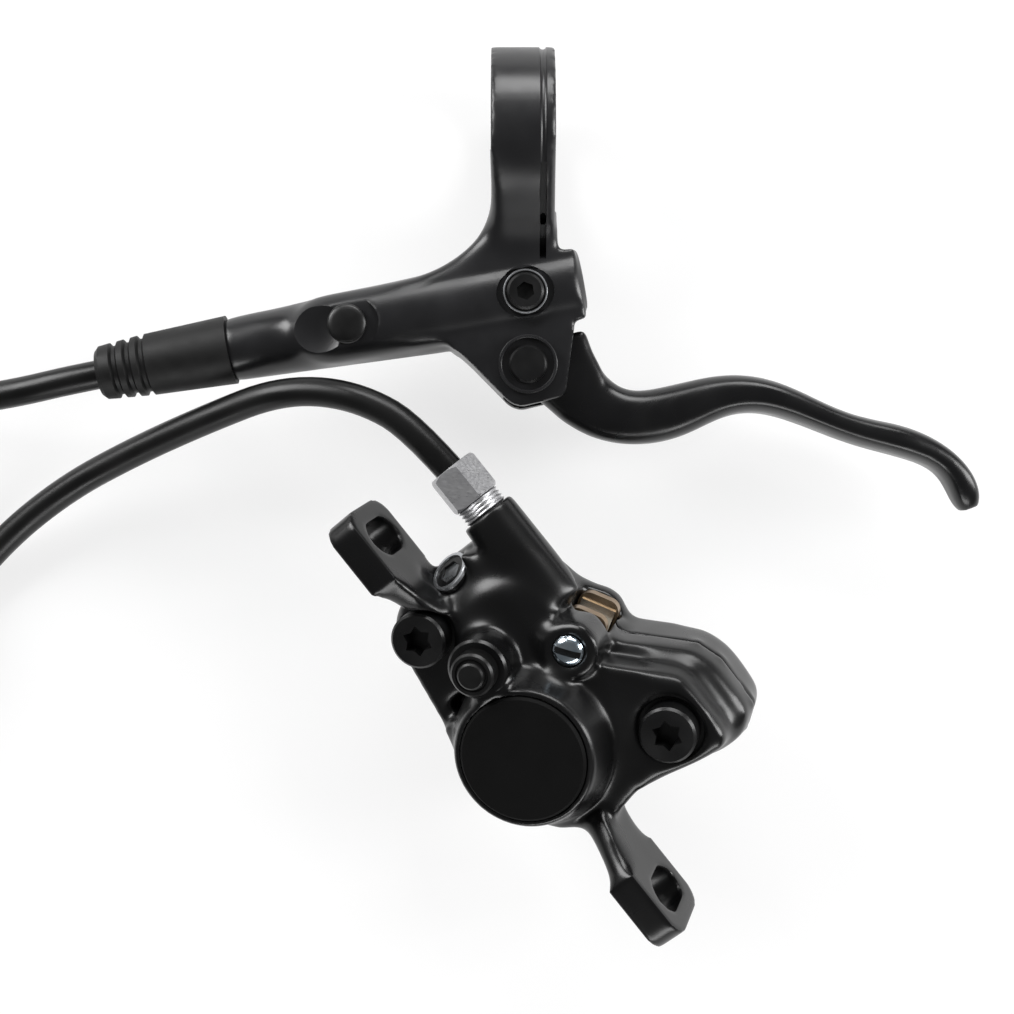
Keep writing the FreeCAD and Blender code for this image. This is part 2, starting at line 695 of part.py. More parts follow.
spring_room = d.bore_length.value + piston_left.value
wire = d.spring_wire_radius.value
coil_spring("return_spring", lever_frame * placement(vector(-d.bore_length.value + wire, 0, 0), rotation()),
            bore_fit.value - 4 * wire, wire, spring_room - 2 * wire, d.spring_turns.value)

# Rubber boot over the hose fitting
boot_right = -d.barrel_shoulder - c
boot_left = boot_right - d.boot_length
cavity_end = -port_mouth - d.lever_nut_length - 0.4
boot_profile = [(boot_right, d.nipple_radius + c), (boot_right, d.boot_radius)]
for rib in range(3):
    rib_right = boot_left + 8.8 - rib * d.boot_rib_pitch
    rib_radius = d.boot_middle_radius - 0.2 * rib
    boot_profile += [(rib_right, rib_radius), (rib_right - 0.4, rib_radius - d.boot_rib_depth),
                     (rib_right - 1.0, rib_radius - d.boot_rib_depth), (rib_right - 1.4, rib_radius - 0.1)]
boot_profile += [(boot_left + 0.7, d.boot_end_radius), (boot_left, d.boot_end_radius - 0.7),
                 (boot_left, d.hose_radius + 6 * c), (cavity_end, d.hose_radius + 6 * c),
                 (cavity_end, d.nipple_radius + c)]
turned_piece("hose_boot", lever_frame, boot_profile)


# Compression fitting at each end of the hose, its X axis out of the port
def hose_fitting(names, frame, exposed, nut_length):
    nut_name, olive_name, insert_name = names
    bore = d.hose_radius + c
    thread = d.hose_port_radius - c
    olive_inner = -d.hose_port_depth + c
    nut = turned_piece(nut_name, frame, ring_profile(
        olive_inner + d.olive_length + c, exposed + nut_length, bore, thread))
    sketch = new_sketch(nut, "YZ_Plane", (0, 0, exposed))
    draw_hexagon(sketch, d.nut_flats)
    draw_circle(sketch, 0, 0, bore)
    pad(nut, sketch, nut_length)
    turned_piece(olive_name, frame, [
        (olive_inner, bore), (olive_inner + d.olive_length, bore),
        (olive_inner + d.olive_length, bore + 0.4), (olive_inner + d.olive_length / 2, thread),
        (olive_inner, bore + 0.4)])
    turned_piece(insert_name, frame, [
        (olive_inner, 0.6), (olive_inner + d.insert_length, 0.6),
        (olive_inner + d.insert_length, d.insert_radius),
        (olive_inner + 0.5, d.insert_radius), (olive_inner + 0.5, d.hose_radius - 0.2),
        (olive_inner, d.hose_radius - 0.2)])
    return frame.multVec(vector((olive_inner + 0.5 + c).value, 0, 0))


lever_port = lever_frame * placement(vector(-port_mouth.value, 0, 0), turn((0, 0, 1), 180))
caliper_port = caliper_frame * placement(
    vector(d.hose_boss_x.value, d.hose_boss_y.value, d.hose_boss_z.value), turn((0, 0, 1), 180))
lever_hose_start = hose_fitting(
    ("lever_hose_nut", "lever_olive", "lever_hose_insert"), lever_port, 2 * c, d.lever_nut_length)
caliper_hose_start = hose_fitting(
    ("caliper_hose_nut", "caliper_olive", "caliper_hose_insert"), caliper_port, d.nut_reach, d.nut_length)

# Caliper front half: base plate, piston boss, bolt lugs, mount tabs and hose boss
front_base_outline = [
    (-27.4, -2.5), (-27.4, 12.5), (-25.6, 14.5), (-25.6, 20.4), (-8.2, 20.4), (0.3, 22.0), (8.9, 31.0),
    (13.5, 32.6), (22.6, 32.2), (25.2, 28.6), (25.4, 24.2), (21.5, 10.7), (22.6, 6.0), (22.6, 0.0),
    (18.9, -4.6), (12.0, -9.6), (-0.5, -11.0), (-12.0, -8.6), (-20.0, -8.6), (-25.6, -6.4)]
front_left_outline = [
    (-27.0, -2.5), (-27.0, 11.5), (-24.6, 14.5), (-24.6, 19.4), (-11.0, 19.4), (-8.6, 12.0), (-8.6, -9.0),
    (-20.0, -8.0), (-25.0, -6.0)]
front_outline = [
    (-6.0, -9.6), (-6.0, 12.0), (0.8, 19.3), (10.5, 29.1), (22.4, 28.9), (24.0, 27.0), (23.4, 21.5),
    (21.3, 10.7), (22.4, 6.0), (22.4, 0.0), (18.9, -4.6), (12.0, -9.4), (-0.5, -10.8)]
rear_outline = [
    (-26.0, -3.5), (-26.0, 12.5), (-23.5, 16.8), (-11.0, 19.0), (-8.2, 20.6), (0.3, 22.0), (8.9, 31.0),
    (13.5, 32.6), (22.6, 32.2), (25.2, 28.6), (25.4, 24.2), (20.8, 9.0), (18.0, 0.0), (12.0, -9.0),
    (-0.5, -10.4), (-12.0, -8.2), (-20.0, -8.4), (-25.0, -6.4)]
piston_place = (d.piston_x, d.piston_y, 0)
square_to_hub = turn((0, 0, 1), d.hub_turn.value)
bolts = ((d.left_bolt_x, d.left_bolt_y), (d.right_bolt_x, d.right_bolt_y))
hub_way = math.radians(d.hub_turn.value)


def on_pads(along, up):
    """Place in the housing of a point given in the pads' own axes, from the piston's centre."""
    return (d.piston_x + along * math.cos(hub_way) - up * math.sin(hub_way),
            d.piston_y + along * math.sin(hub_way) + up * math.cos(hub_way))


def new_housing(name, outline, depth, back):
    housing = new_body(name, caliper_frame)
    sketch = new_sketch(housing, "XY_Plane")
    draw_outline(sketch, outline)
    pad(housing, sketch, depth, back=back)
    for x, y in bolts:
        sketch = new_sketch(housing, "XY_Plane", (x, y, 0))
        draw_circle(sketch, 0, 0, d.bolt_lug_radius)
        pad(housing, sketch, depth if back else d.bolt_seat_height, back=back)
    return housing


def spin_on_piston(housing, kind, profile):
    """Turns a profile of radii and heights round the piston's axis."""
    sketch = new_sketch(housing, "XZ_Plane", (d.piston_x, 0, -d.piston_y))
    draw_outline(sketch, profile)
    spin(housing, kind, sketch, "V_Axis")


def open_for_pads(housing, back):
    """Rotor slot, pad room, ear window, piston bore and pin hole. A pocket runs the other way to a pad."""
    sketch = new_sketch(housing, "XY_Plane")
    draw_circle(sketch, *on_pads(0, d.rotor_reach - d.rotor_radius), d.rotor_radius + d.rotor_clearance)
    pocket(housing, sketch, d.rotor_slot_half, back=not back)
    room = d.rotor_slot_half + d.pad_lining + d.pad_plate + 2 * c
    side = d.pad_half_width + d.pad_clearance
    ear_side = d.pad_ear_half + d.pad_clearance
    room_top = d.pad_top + d.pad_clearance
    open_end = d.pad_ear_top * 1.5
    sketch = new_sketch(housing, "XY_Plane", piston_place, square_to_hub)
    draw_outline(sketch, [
        (-side, -open_end), (side, -open_end), (side, room_top), (ear_side, room_top),
        (ear_side, open_end), (-ear_side, open_end), (-ear_side, room_top), (-side, room_top)])
    pocket(housing, sketch, room, back=not back)
    sketch = new_sketch(housing, "XY_Plane", piston_place)
    draw_circle(sketch, 0, 0, d.piston_radius + c)
    pocket(housing, sketch, room + d.piston_depth + d.edge_break, back=not back)
    sketch = new_sketch(housing, "XY_Plane", (*on_pads(0, d.pad_pin_reach), 0))
    draw_circle(sketch, 0, 0, d.pad_pin_radius + c)
    pocket(housing, sketch, d.front_boss_depth * 2, back=not back)
    side = -1 if back else 1
    near = (room + d.piston_seal_reach) * side
    far = near + d.piston_seal_width * side
    spin_on_piston(housing, "Groove", [
        (d.piston_radius - 1, near), (d.piston_radius + d.piston_seal_depth, near),
        (d.piston_radius + d.piston_seal_depth, far), (d.piston_radius - 1, far)])


front = new_housing("caliper_housing_front", front_base_outline, d.front_base_depth, False)
for outline, depth in ((front_left_outline, d.bolt_seat_height), (front_outline, d.front_depth)):
    sketch = new_sketch(front, "XY_Plane")
    draw_outline(sketch, outline)
    pad(front, sketch, depth)
sketch = new_sketch(front, "XY_Plane", (d.saddle_x, d.saddle_y, 0))
draw_circle(sketch, 0, 0, d.saddle_radius)
pad(front, sketch, d.front_depth)
spin_on_piston(front, "Revolution", [
    (0, 0), (d.piston_boss_radius, 0), (d.piston_boss_radius, d.front_depth),
    (d.piston_boss_radius - 0.9, d.front_depth + 2.7),
    (d.piston_boss_top_radius + d.edge_break, d.front_boss_depth - d.edge_break),
    (d.piston_boss_top_radius, d.front_boss_depth), (0, d.front_boss_depth)])
sketch = new_sketch(front, "XY_Plane", (d.bleed_boss_x, d.bleed_boss_y, 0))
draw_circle(sketch, 0, 0, d.bleed_boss_radius)
pad(front, sketch, d.bleed_boss_depth)
sketch = new_sketch(front, "XY_Plane", (*on_pads(0, d.pad_pin_reach), 0))
draw_circle(sketch, 0, 0, d.pad_lug_radius)
pin_seat_height = d.front_depth + 1.0
pad(front, sketch, pin_seat_height + d.pad_pin_head_height)
sketch = new_sketch(front, "YZ_Plane", (d.hose_boss_y, d.hose_boss_z, d.hose_boss_x))
draw_circle(sketch, 0, 0, d.hose_boss_radius)
pad(front, sketch, d.hose_boss_length)
# Tabs that take the mount bolts, each a flat plate with a slot across the rotor's plane
for side in (-1, 1):
    slot_x = d.slot_spacing / 2 * side
    tip = slot_x + d.tab_end * side
    arm_start = slot_x - d.arm_start * side
    arm_end = arm_start - d.arm_length * side
    arms = [
        (d.tab_thickness, [
            (tip, d.tab_near), (tip, d.tab_far), (arm_start, d.tab_far), (arm_start, d.tab_near)]),
        (d.tab_thickness - d.arm_step, [
            (arm_start + 1 * side, d.tab_near), (arm_start + 1 * side, d.tab_far), (arm_start, d.tab_far),
            (arm_end, d.front_depth + 1), (arm_end, d.tab_near)])]
    for thickness, outline in arms[::-1]:
        sketch = new_sketch(front, "XZ_Plane", (0, 0, -d.tab_top))
        draw_outline(sketch, outline)
        pad(front, sketch, thickness)
    soften(front, "Fillet", d.tab_corner,
           lambda edge: len(edge.Vertexes) == 2 and all(abs(v.X - tip.value) < 1e-3 for v in edge.Vertexes)
           and abs(edge.Vertexes[0].Z - edge.Vertexes[1].Z) < 1e-3)
    sketch = new_sketch(front, "XZ_Plane", (slot_x, (d.tab_near + d.tab_far) / 2, -d.tab_top))
    half_run = (d.slot_length - d.slot_width) / 2
    half_width = d.slot_width / 2
    draw_outline(sketch, [
        (-half_width, -half_run), (0, -half_run - half_width, half_width),
        (half_width, -half_run, half_width), (half_width, half_run),
        (0, half_run + half_width, half_width), (-half_width, half_run, half_width)])
    pocket(front, sketch, d.tab_thickness * 3, both=True)
open_for_pads(front, False)

# Bolt seats, cover seat, bleed hole and hose port of the front half
bolt_seat = d.bolt_seat_height
cover_bottom = d.front_boss_depth - d.cover_thickness
cuts = [(x, y, d.tab_far, radius, depth) for x, y in bolts for radius, depth in (
    (d.bolt_seat_radius, d.tab_far - bolt_seat), (d.body_bolt_radius + c, d.tab_far + 1))]
cuts += [
    (d.piston_x, d.piston_y, d.front_boss_depth, d.cover_radius + c, d.cover_thickness),
    (d.bleed_boss_x, d.bleed_boss_y, d.bleed_boss_depth, d.nipple_thread_radius + c, 7.0),
    (*on_pads(0, d.pad_pin_reach), pin_seat_height + d.pad_pin_head_height,
     d.pad_pin_head_radius + 6 * c, d.pad_pin_head_height)]
for x, y, top, radius, depth in cuts:
    sketch = new_sketch(front, "XY_Plane", (x, y, top))
    draw_circle(sketch, 0, 0, radius)
    pocket(front, sketch, depth)
for radius, depth in ((d.hose_port_radius, d.hose_port_depth), (d.fluid_passage_radius, 13.0)):
    sketch = new_sketch(front, "YZ_Plane", (d.hose_boss_y, d.hose_boss_z, d.hose_boss_x))
    draw_circle(sketch, 0, 0, radius)
    pocket(front, sketch, depth, back=True)

# Second port on the left, closed by a plug, for a hose that comes from that side
side_port = caliper_frame * placement(
    vector(d.side_port_x.value, d.side_port_y.value, d.side_port_z.value),
    turn((0, 1, 0), 180 + d.side_port_lean.value))
side_port_cuts = [
    ("AdditiveCylinder", "boss", d.side_port_radius + d.side_port_wall,
     -d.side_boss_length, d.side_boss_length),
    ("SubtractiveCylinder", "seat", d.side_port_radius + c, -d.side_seat_depth, d.side_boss_length),
    ("SubtractiveCylinder", "thread", d.side_thread_radius + c, -d.side_thread_length, d.side_boss_length)]
for kind, name, radius, start, length in side_port_cuts:
    cylinder = front.newObject(f"PartDesign::{kind}", f"side_port_{name}")
    cylinder.setExpression("Radius", radius.words)
    cylinder.setExpression("Height", length.words)
    cylinder.Placement = placement(
        vector(d.side_port_x.value, d.side_port_y.value, d.side_port_z.value),
        turn((0, 1, 0), d.side_port_lean.value - 90)) * placement(vector(0, 0, start.value), rotation())
    doc.recompute()

# Caliper rear half: its outer face is slanted for the spokes, and the caliper lies on it
rear = new_housing("caliper_housing_rear", rear_outline, d.rear_depth, True)
spin_on_piston(rear, "Revolution", [
    (0, 0), (0, -d.rear_boss_depth), (d.piston_boss_radius, -d.rear_boss_depth), (d.piston_boss_radius, 0)])
sketch = new_sketch(rear, "XY_Plane", (*on_pads(0, d.pad_pin_reach), 0))
draw_circle(sketch, 0, 0, d.pad_lug_radius)
pad(rear, sketch, d.rear_depth, back=True)
open_for_pads(rear, True)
for x, y in bolts:
    sketch = new_sketch(rear, "XY_Plane", (x, y, 0))
    draw_circle(sketch, 0, 0, d.body_bolt_radius + c)
    pocket(rear, sketch, d.rear_depth - d.bolt_hole_rest)
tilt = math.radians(d.rest_tilt.value)
floor_place = (-d.caliper_height * math.sin(tilt), -d.caliper_height * math.cos(tilt), 0)
sketch = new_sketch(rear, "YZ_Plane", floor_place, turn((0, 0, 1), -d.rest_tilt.value))
draw_box(sketch, -d.slot_spacing, d.slot_spacing, -d.rear_boss_depth, 0)
pocket(rear, sketch, d.slot_spacing * 2, both=True)

# Bolts that hold the halves together, one set
star = []
for i in range(12):
    reach = d.star_inner if i % 2 else d.star_outer
    star.append((reach * math.cos(math.radians(30 * i)), reach * math.sin(math.radians(30 * i))))
bolt_end = -d.rear_depth + d.bolt_hole_rest + 4 * c


def body_bolt(name, x, y):
    top = bolt_seat + d.body_bolt_head_height
    bolt = turned_piece(name, upright(caliper_frame, x, y, 0), [
        (bolt_end, 0), (top, 0), (top, d.body_bolt_head_radius - d.edge_break),
        (top - d.edge_break, d.body_bolt_head_radius), (bolt_seat, d.body_bolt_head_radius),
        (bolt_seat, d.body_bolt_radius), (bolt_end, d.body_bolt_radius)])
    sketch = new_sketch(bolt, "YZ_Plane", (0, 0, top))
    draw_outline(sketch, star)
    pocket(bolt, sketch, d.star_depth)


for name, (x, y) in zip(("body_bolt_left", "body_bolt_right"), bolts):
    body_bolt(name, x, y)

# Cover of the front bore, with its ring seal
cover_frame = upright(caliper_frame, d.piston_x, d.piston_y, 0)
cover_top = d.front_boss_depth + d.cover_proud
groove_low = cover_bottom + d.edge_break
groove_high = groove_low + d.cover_groove
turned_piece("piston_cover", cover_frame, [
    (cover_bottom, 0), (cover_top, 0), (cover_top, d.cover_radius - d.edge_break),
    (cover_top - d.edge_break, d.cover_radius), (groove_high, d.cover_radius),
    (groove_high, d.cover_radius - d.cover_groove), (groove_low, d.cover_radius - d.cover_groove),
    (groove_low, d.cover_radius), (cover_bottom, d.cover_radius)])
turned_piece("piston_cover_seal", cover_frame, ring_profile(
    groove_low + c, groove_high - c, d.cover_radius - d.cover_groove + c, d.cover_radius))

# Pads, pistons and their square seals, the same on both sides of the rotor
plate_near = d.rotor_slot_half + d.pad_lining
plate_far = plate_near + d.pad_plate
piston_near = plate_far + c
for side_name, side in (("front", 1), ("rear", -1)):
    back = side < 0
    lining = new_body(f"{side_name}_pad_lining", piston_frame)
    sketch = new_sketch(lining, "XY_Plane", (0, 0, d.rotor_slot_half * side))
    bevel = d.pad_bevel
    draw_outline(sketch, [
        (-d.pad_half_width + bevel, d.pad_bottom), (d.pad_half_width - bevel, d.pad_bottom),
        (d.pad_half_width - 0.5, d.pad_bottom + bevel), (d.pad_half_width - 0.5, d.pad_top - 0.5),
        (-d.pad_half_width + 0.5, d.pad_top - 0.5), (-d.pad_half_width + 0.5, d.pad_bottom + bevel)])
    pad(lining, sketch, d.pad_lining, back=back)
    plate = new_body(f"{side_name}_pad_plate", piston_frame)
    sketch = new_sketch(plate, "XY_Plane", (0, 0, plate_near * side))
    draw_outline(sketch, [
        (-d.pad_half_width + bevel, d.pad_bottom - 0.5), (d.pad_half_width - bevel, d.pad_bottom - 0.5),
        (d.pad_half_width, d.pad_bottom + bevel), (d.pad_half_width, d.pad_top), (d.pad_ear_half, d.pad_top),
        (d.pad_ear_half, d.pad_ear_top - 2), (d.pad_ear_half - 2, d.pad_ear_top, 2.0),
        (2 - d.pad_ear_half, d.pad_ear_top), (-d.pad_ear_half, d.pad_ear_top - 2, 2.0),
        (-d.pad_ear_half, d.pad_top), (-d.pad_half_width, d.pad_top),
        (-d.pad_half_width, d.pad_bottom + bevel)])
    pad(plate, sketch, d.pad_plate, back=back)
    sketch = new_sketch(plate, "XY_Plane", (0, d.pad_pin_reach, plate_near * side))
    draw_circle(sketch, 0, 0, d.pad_pin_radius + 2 * c)
    pocket(plate, sketch, d.pad_plate, back=not back)
    frame = upright(piston_frame, 0, 0, 0) * placement(vector(0, 0, 0), turn((0, 1, 0), 90 - 90 * side))
    turned_piece(f"{side_name}_piston", frame, [
        (piston_near, d.piston_radius - d.piston_wall), (piston_near, d.piston_radius - 0.3),
        (piston_near + 0.3, d.piston_radius), (piston_near + d.piston_depth, d.piston_radius),
        (piston_near + d.piston_depth, 0), (piston_near + d.piston_wall, 0),
        (piston_near + d.piston_wall, d.piston_radius - d.piston_wall)])
    seal_near = plate_far + 2 * c + d.piston_seal_reach
    turned_piece(f"{side_name}_piston_seal", frame, ring_profile(
        seal_near + c, seal_near + d.piston_seal_width - c, d.piston_radius + 0.4 * c,
        d.piston_radius + d.piston_seal_depth - c))

# Pad spring: bent strip between the two plates, over the pin
strip = d.spring_strip.value
spread = (plate_near - c).value
spring_outline = [
    (-spread, 21.0), (-spread + strip, 21.2), (-0.9, 11.6), (0.9, 11.6), (spread - strip, 21.2),
    (spread, 21.0), (1.2, 11.0), (-1.2, 11.0)]
spring = new_body("pad_spring", piston_frame)
sketch = new_sketch(spring, "YZ_Plane", (0, 0, 0))
draw_outline(sketch, [(y, x) for x, y in spring_outline])
pad(spring, sketch, d.pad_ear_half * 1.7, both=True)
sketch = new_sketch(spring, "XY_Plane", (0, d.pad_pin_reach, 0))
draw_circle(sketch, 0, 0, d.pad_pin_radius + 2 * c)
pocket(spring, sketch, plate_near * 2, both=True)

# Pad pin with a slotted head, and its clip behind the rear half
pin_axis = upright(piston_frame, 0, d.pad_pin_reach, 0)
pin_top = pin_seat_height + d.pad_pin_head_height
pin_end = -d.rear_depth - d.pin_tail
clip_low = pin_end + d.clip_thickness
clip_high = clip_low + d.clip_thickness + 2 * c
pin_neck = d.pad_pin_radius - d.edge_break
pad_pin = turned_piece("pad_pin", pin_axis, [
    (pin_end, 0), (pin_top, 0), (pin_top, d.pad_pin_head_radius - d.edge_break),
    (pin_top - d.edge_break, d.pad_pin_head_radius), (pin_seat_height + c, d.pad_pin_head_radius),
    (pin_seat_height + c, d.pad_pin_radius), (clip_high, d.pad_pin_radius), (clip_high, pin_neck),
    (clip_low, pin_neck), (clip_low, d.pad_pin_radius), (pin_end, d.pad_pin_radius)])
pad_clip = turned_piece("pad_pin_clip", pin_axis, ring_profile(
    clip_low + c, clip_high - c, pin_neck + c, d.pin_clip_radius))
sketch = new_sketch(pad_clip, "YZ_Plane")
draw_box(sketch, 0, d.pin_clip_radius * 2, -pin_neck * 0.7, pin_neck * 0.7)
pocket(pad_clip, sketch, d.rear_depth * 4, both=True)
sketch = new_sketch(pad_pin, "YZ_Plane", (0, 0, pin_top))
draw_box(sketch, -d.pad_pin_head_radius, d.pad_pin_head_radius, -d.pin_slot / 2, d.pin_slot / 2)
pocket(pad_pin, sketch, d.pin_slot_depth)

# Plug of the side port, with a hexagon socket
plug_end = -d.side_thread_length + c
plug_seat = -d.side_seat_depth + c
side_plug = turned_piece("side_port_plug", side_port, [
    (plug_end, 0), (d.side_plug_height, 0), (d.side_plug_height, d.side_port_radius - d.edge_break),
    (d.side_plug_height - d.edge_break, d.side_port_radius), (plug_seat, d.side_port_radius),
    (plug_seat, d.side_thread_radius), (plug_end, d.side_thread_radius)])
sketch = new_sketch(side_plug, "YZ_Plane", (0, 0, d.side_plug_height))
draw_hexagon(sketch, d.side_thread_radius * 1.3)
pocket(side_plug, sketch, d.bleed_key_depth)

# Bleed nipple under its rubber cap
bleed_frame = upright(caliper_frame, d.bleed_boss_x, d.bleed_boss_y, 0)
bleed_top = d.bleed_boss_depth
turned_piece("bleed_nipple", bleed_frame, [
    (bleed_top - 6.5, 0.6), (bleed_top + 2.4, 0.6), (bleed_top + 2.4, 1.6), (bleed_top + 0.8, 2.0),
    (bleed_top + 0.3, d.nipple_thread_radius), (bleed_top - 6.5, d.nipple_thread_radius)])
turned_piece("bleed_cap", bleed_frame, [
    (bleed_top + c, 2.6), (bleed_top + 2.5, 2.6), (bleed_top + 2.5, 0), (bleed_top + 3.8, 0),
    (bleed_top + 3.8, d.cap_radius - 1.5), (bleed_top + 3.3, d.cap_radius - 1.2),
    (bleed_top + 3.1, d.cap_radius - 0.4), (bleed_top + 2.7, d.cap_radius), (bleed_top + c, d.cap_radius)])


# Hose: a tube from each fitting to the coil that takes up the rest of its length
def hose_tube(name, route, bored_ends):
    """Tube of straight runs and tangent arcs through the points of the route."""
    points = [vector(*point) for point in route]
    edges = []
    start = points[0]
    radii = []
    for before, here, after in zip(points, points[1:], points[2:]):
        way_in = (here - before).normalize()
        way_out = (after - here).normalize()
        half_turn = way_in.getAngle(way_out) / 2
        shorter = min((here - before).Length, (after - here).Length)
        radius = 0.45 * shorter / math.tan(half_turn)
        radii.append(radius)
        cut = 0.45 * shorter
        first = here - way_in * cut
        last = here + way_out * cut
        bisector = (way_out - way_in).normalize()
        middle = here + bisector * (radius / math.cos(half_turn) - radius)
        if (first - start).Length > 1e-4:
            edges.append(Part.LineSegment(start, first).toShape())
        edges.append(Part.Arc(first, middle, last).toShape())
        start = last
    edges.append(Part.LineSegment(start, points[-1]).toShape())
    path = Part.Wire(edges)
    ring = Part.Wire([Part.Circle(points[0], points[1] - points[0], d.hose_radius.value).toShape()])
    tube = path.makePipeShell([ring], True, True)
    expected = math.pi * d.hose_radius.value ** 2 * path.Length
    print(name, "length", round(path.Length, 1), "radii", [round(radius, 1) for radius in radii],
          "volume ratio", round(tube.Volume / expected, 4))
    for end, other in bored_ends:
        way = (vector(*other) - vector(*end)).normalize()
        room = Part.makeCylinder((d.insert_radius + c).value, d.insert_length.value, vector(*end), way)
        tube = tube.cut(room)
    plain_piece(name, tube, placement())


def along_port(frame, reach):
    return tuple(frame.multVec(vector(reach, 0, 0)))


coil_middle = vector(-136.5, -14.5, 0)
coil_inner = 22.5
coil_outer = 32.5
coil_height = 14.6
coil_lay = (coil_inner + coil_outer) / 2
low = d.hose_radius.value
lever_route = [
    tuple(lever_hose_start), along_port(lever_port, 17.0),
    (-92.0, 15.4, 12.6), (-106.0, 14.2, 8.0), (-121.0, 13.9, 4.4),
    (coil_middle.x, coil_middle.y + coil_lay, low)]
caliper_route = [
    tuple(caliper_hose_start), along_port(caliper_port, 16.5),
    (-30.5, 15.1, 26.6), (-43.2, 16.2, 22.9), (-57.0, 11.4, 17.6), (-70.5, 6.0, 12.0), (-83.5, -0.4, 7.4),
    (-95.5, -9.5, 4.2), (-105.5, -21.4, 3.0), (-117.5, -33.5, 2.6),
    (coil_middle.x, coil_middle.y - coil_lay, low)]
hose_tube("hose_lever_run", lever_route, [(lever_route[0], lever_route[1])])
hose_tube("hose_caliper_run", caliper_route, [(caliper_route[0], caliper_route[1])])
coil = Part.makeCylinder(coil_outer, coil_height, coil_middle).cut(
    Part.makeCylinder(coil_inner, coil_height, coil_middle))
plain_piece("hose_coil", coil, placement())

# Check and write every piece
doc.recompute()
faults = [item.Name for item in doc.Objects if "Invalid" in item.State or "Error" in item.State]
pieces = [item for item in doc.Objects if item.TypeId == "PartDesign::Body" or item.TypeId == "Part::Feature"]
faults += [item.Label for item in pieces if item.Shape.isNull() or not item.Shape.isValid()]
faults += [item.Label for item in pieces if item.TypeId == "PartDesign::Body" and len(item.Shape.Solids) != 1]
if faults:
    raise RuntimeError(f"failed: {faults}")
os.makedirs("parts", exist_ok=True)
whole = FreeCAD.BoundBox()
for item in pieces:
    item.Shape.exportStep(f"parts/{item.Label}.step")
    if not item.Label.startswith("hose_lever_run") and not item.Label.startswith("hose_c"):
        whole.add(item.Shape.BoundBox)
print("pieces", len(pieces), "middle", round(whole.Center.x, 2), round(whole.Center.y, 2),
      "size", round(whole.XLength, 2), round(whole.YLength, 2))
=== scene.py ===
import math
import bpy
from mathutils import Matrix, Vector


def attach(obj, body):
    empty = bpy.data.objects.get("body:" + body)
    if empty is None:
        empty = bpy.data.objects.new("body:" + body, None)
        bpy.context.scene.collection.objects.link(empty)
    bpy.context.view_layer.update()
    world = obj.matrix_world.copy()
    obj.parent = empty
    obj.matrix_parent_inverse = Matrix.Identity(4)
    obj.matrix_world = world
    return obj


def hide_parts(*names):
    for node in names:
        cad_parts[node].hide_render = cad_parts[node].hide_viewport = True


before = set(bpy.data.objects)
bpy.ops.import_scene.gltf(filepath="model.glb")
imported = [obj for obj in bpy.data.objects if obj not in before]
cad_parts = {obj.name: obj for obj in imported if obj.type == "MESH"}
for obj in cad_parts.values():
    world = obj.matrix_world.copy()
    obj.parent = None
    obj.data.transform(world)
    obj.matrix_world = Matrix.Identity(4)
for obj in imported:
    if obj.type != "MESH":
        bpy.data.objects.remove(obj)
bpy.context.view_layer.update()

MM = 0.001


# Camera: straight above the two units, as in the product shot.
# One picture covers both, so the nearer caliper shows a little larger than the lever.
CAMERA_PLACE = Vector((-5.57, -3.5, 320.0)) * MM
LENS_MM = 63.0
SENSOR_MM = 36.0
camera_data = bpy.data.cameras.new("camera")
camera_data.lens = LENS_MM
camera_data.sensor_width = SENSOR_MM
camera = bpy.data.objects.new("camera", camera_data)
camera.location = CAMERA_PLACE
bpy.context.scene.collection.objects.link(camera)
bpy.context.scene.camera = camera
bpy.context.scene.view_settings.view_transform = "Standard"


# Floor and light: a white sweep of card under plain soft boxes.
# The card shows as white to the camera and in reflections, and keeps a faint shadow.
def linear(hex_colour):
    """Linear colour of an sRGB hex value."""
    parts = [int(hex_colour[i:i + 2], 16) / 255 for i in (1, 3, 5)]
    return (*(p / 12.92 if p <= 0.04045 else ((p + 0.055) / 1.055) ** 2.4 for p in parts), 1.0)


def feed(node, socket, source):
    """Links what another node gives to a socket of this one."""
    node.id_data.links.new(source, node.inputs[socket])


def add_node(material, kind, settings=None, **links):
    """Node of a material. Settings are its properties, or the values of its sockets by name or
    number. A link names the socket it feeds, as _0 or with underscores for spaces."""
    node = material.node_tree.nodes.new(kind)
    for name, value in (settings or {}).items():
        if isinstance(name, int) or name in node.inputs:
            node.inputs[name].default_value = value
        else:
            setattr(node, name, value)
    for name, source in links.items():
        feed(node, int(name[1:]) if name[1:].isdigit() else name.replace("_", " "), source)
    return node


def new_finish(name, colour, roughness, metallic=0.0, **sockets):
    """Material with one Principled shader. Returns it and the shader."""
    material = bpy.data.materials.new(name)
    material.use_nodes = True
    shader = material.node_tree.nodes["Principled BSDF"]
    shader.inputs["Base Color"].default_value = linear(colour)
    shader.inputs["Roughness"].default_value = roughness
    shader.inputs["Metallic"].default_value = metallic
    for socket, value in sockets.items():
        shader.inputs[socket.replace("_", " ")].default_value = value
    return material, shader


FLOOR_SIZE = 6.0
CARD_GLOW = 0.72
bpy.ops.object.select_all(action="DESELECT")
bpy.ops.mesh.primitive_plane_add(size=FLOOR_SIZE, location=(0, 0, 0))
floor = bpy.context.object
floor.name = "floor"
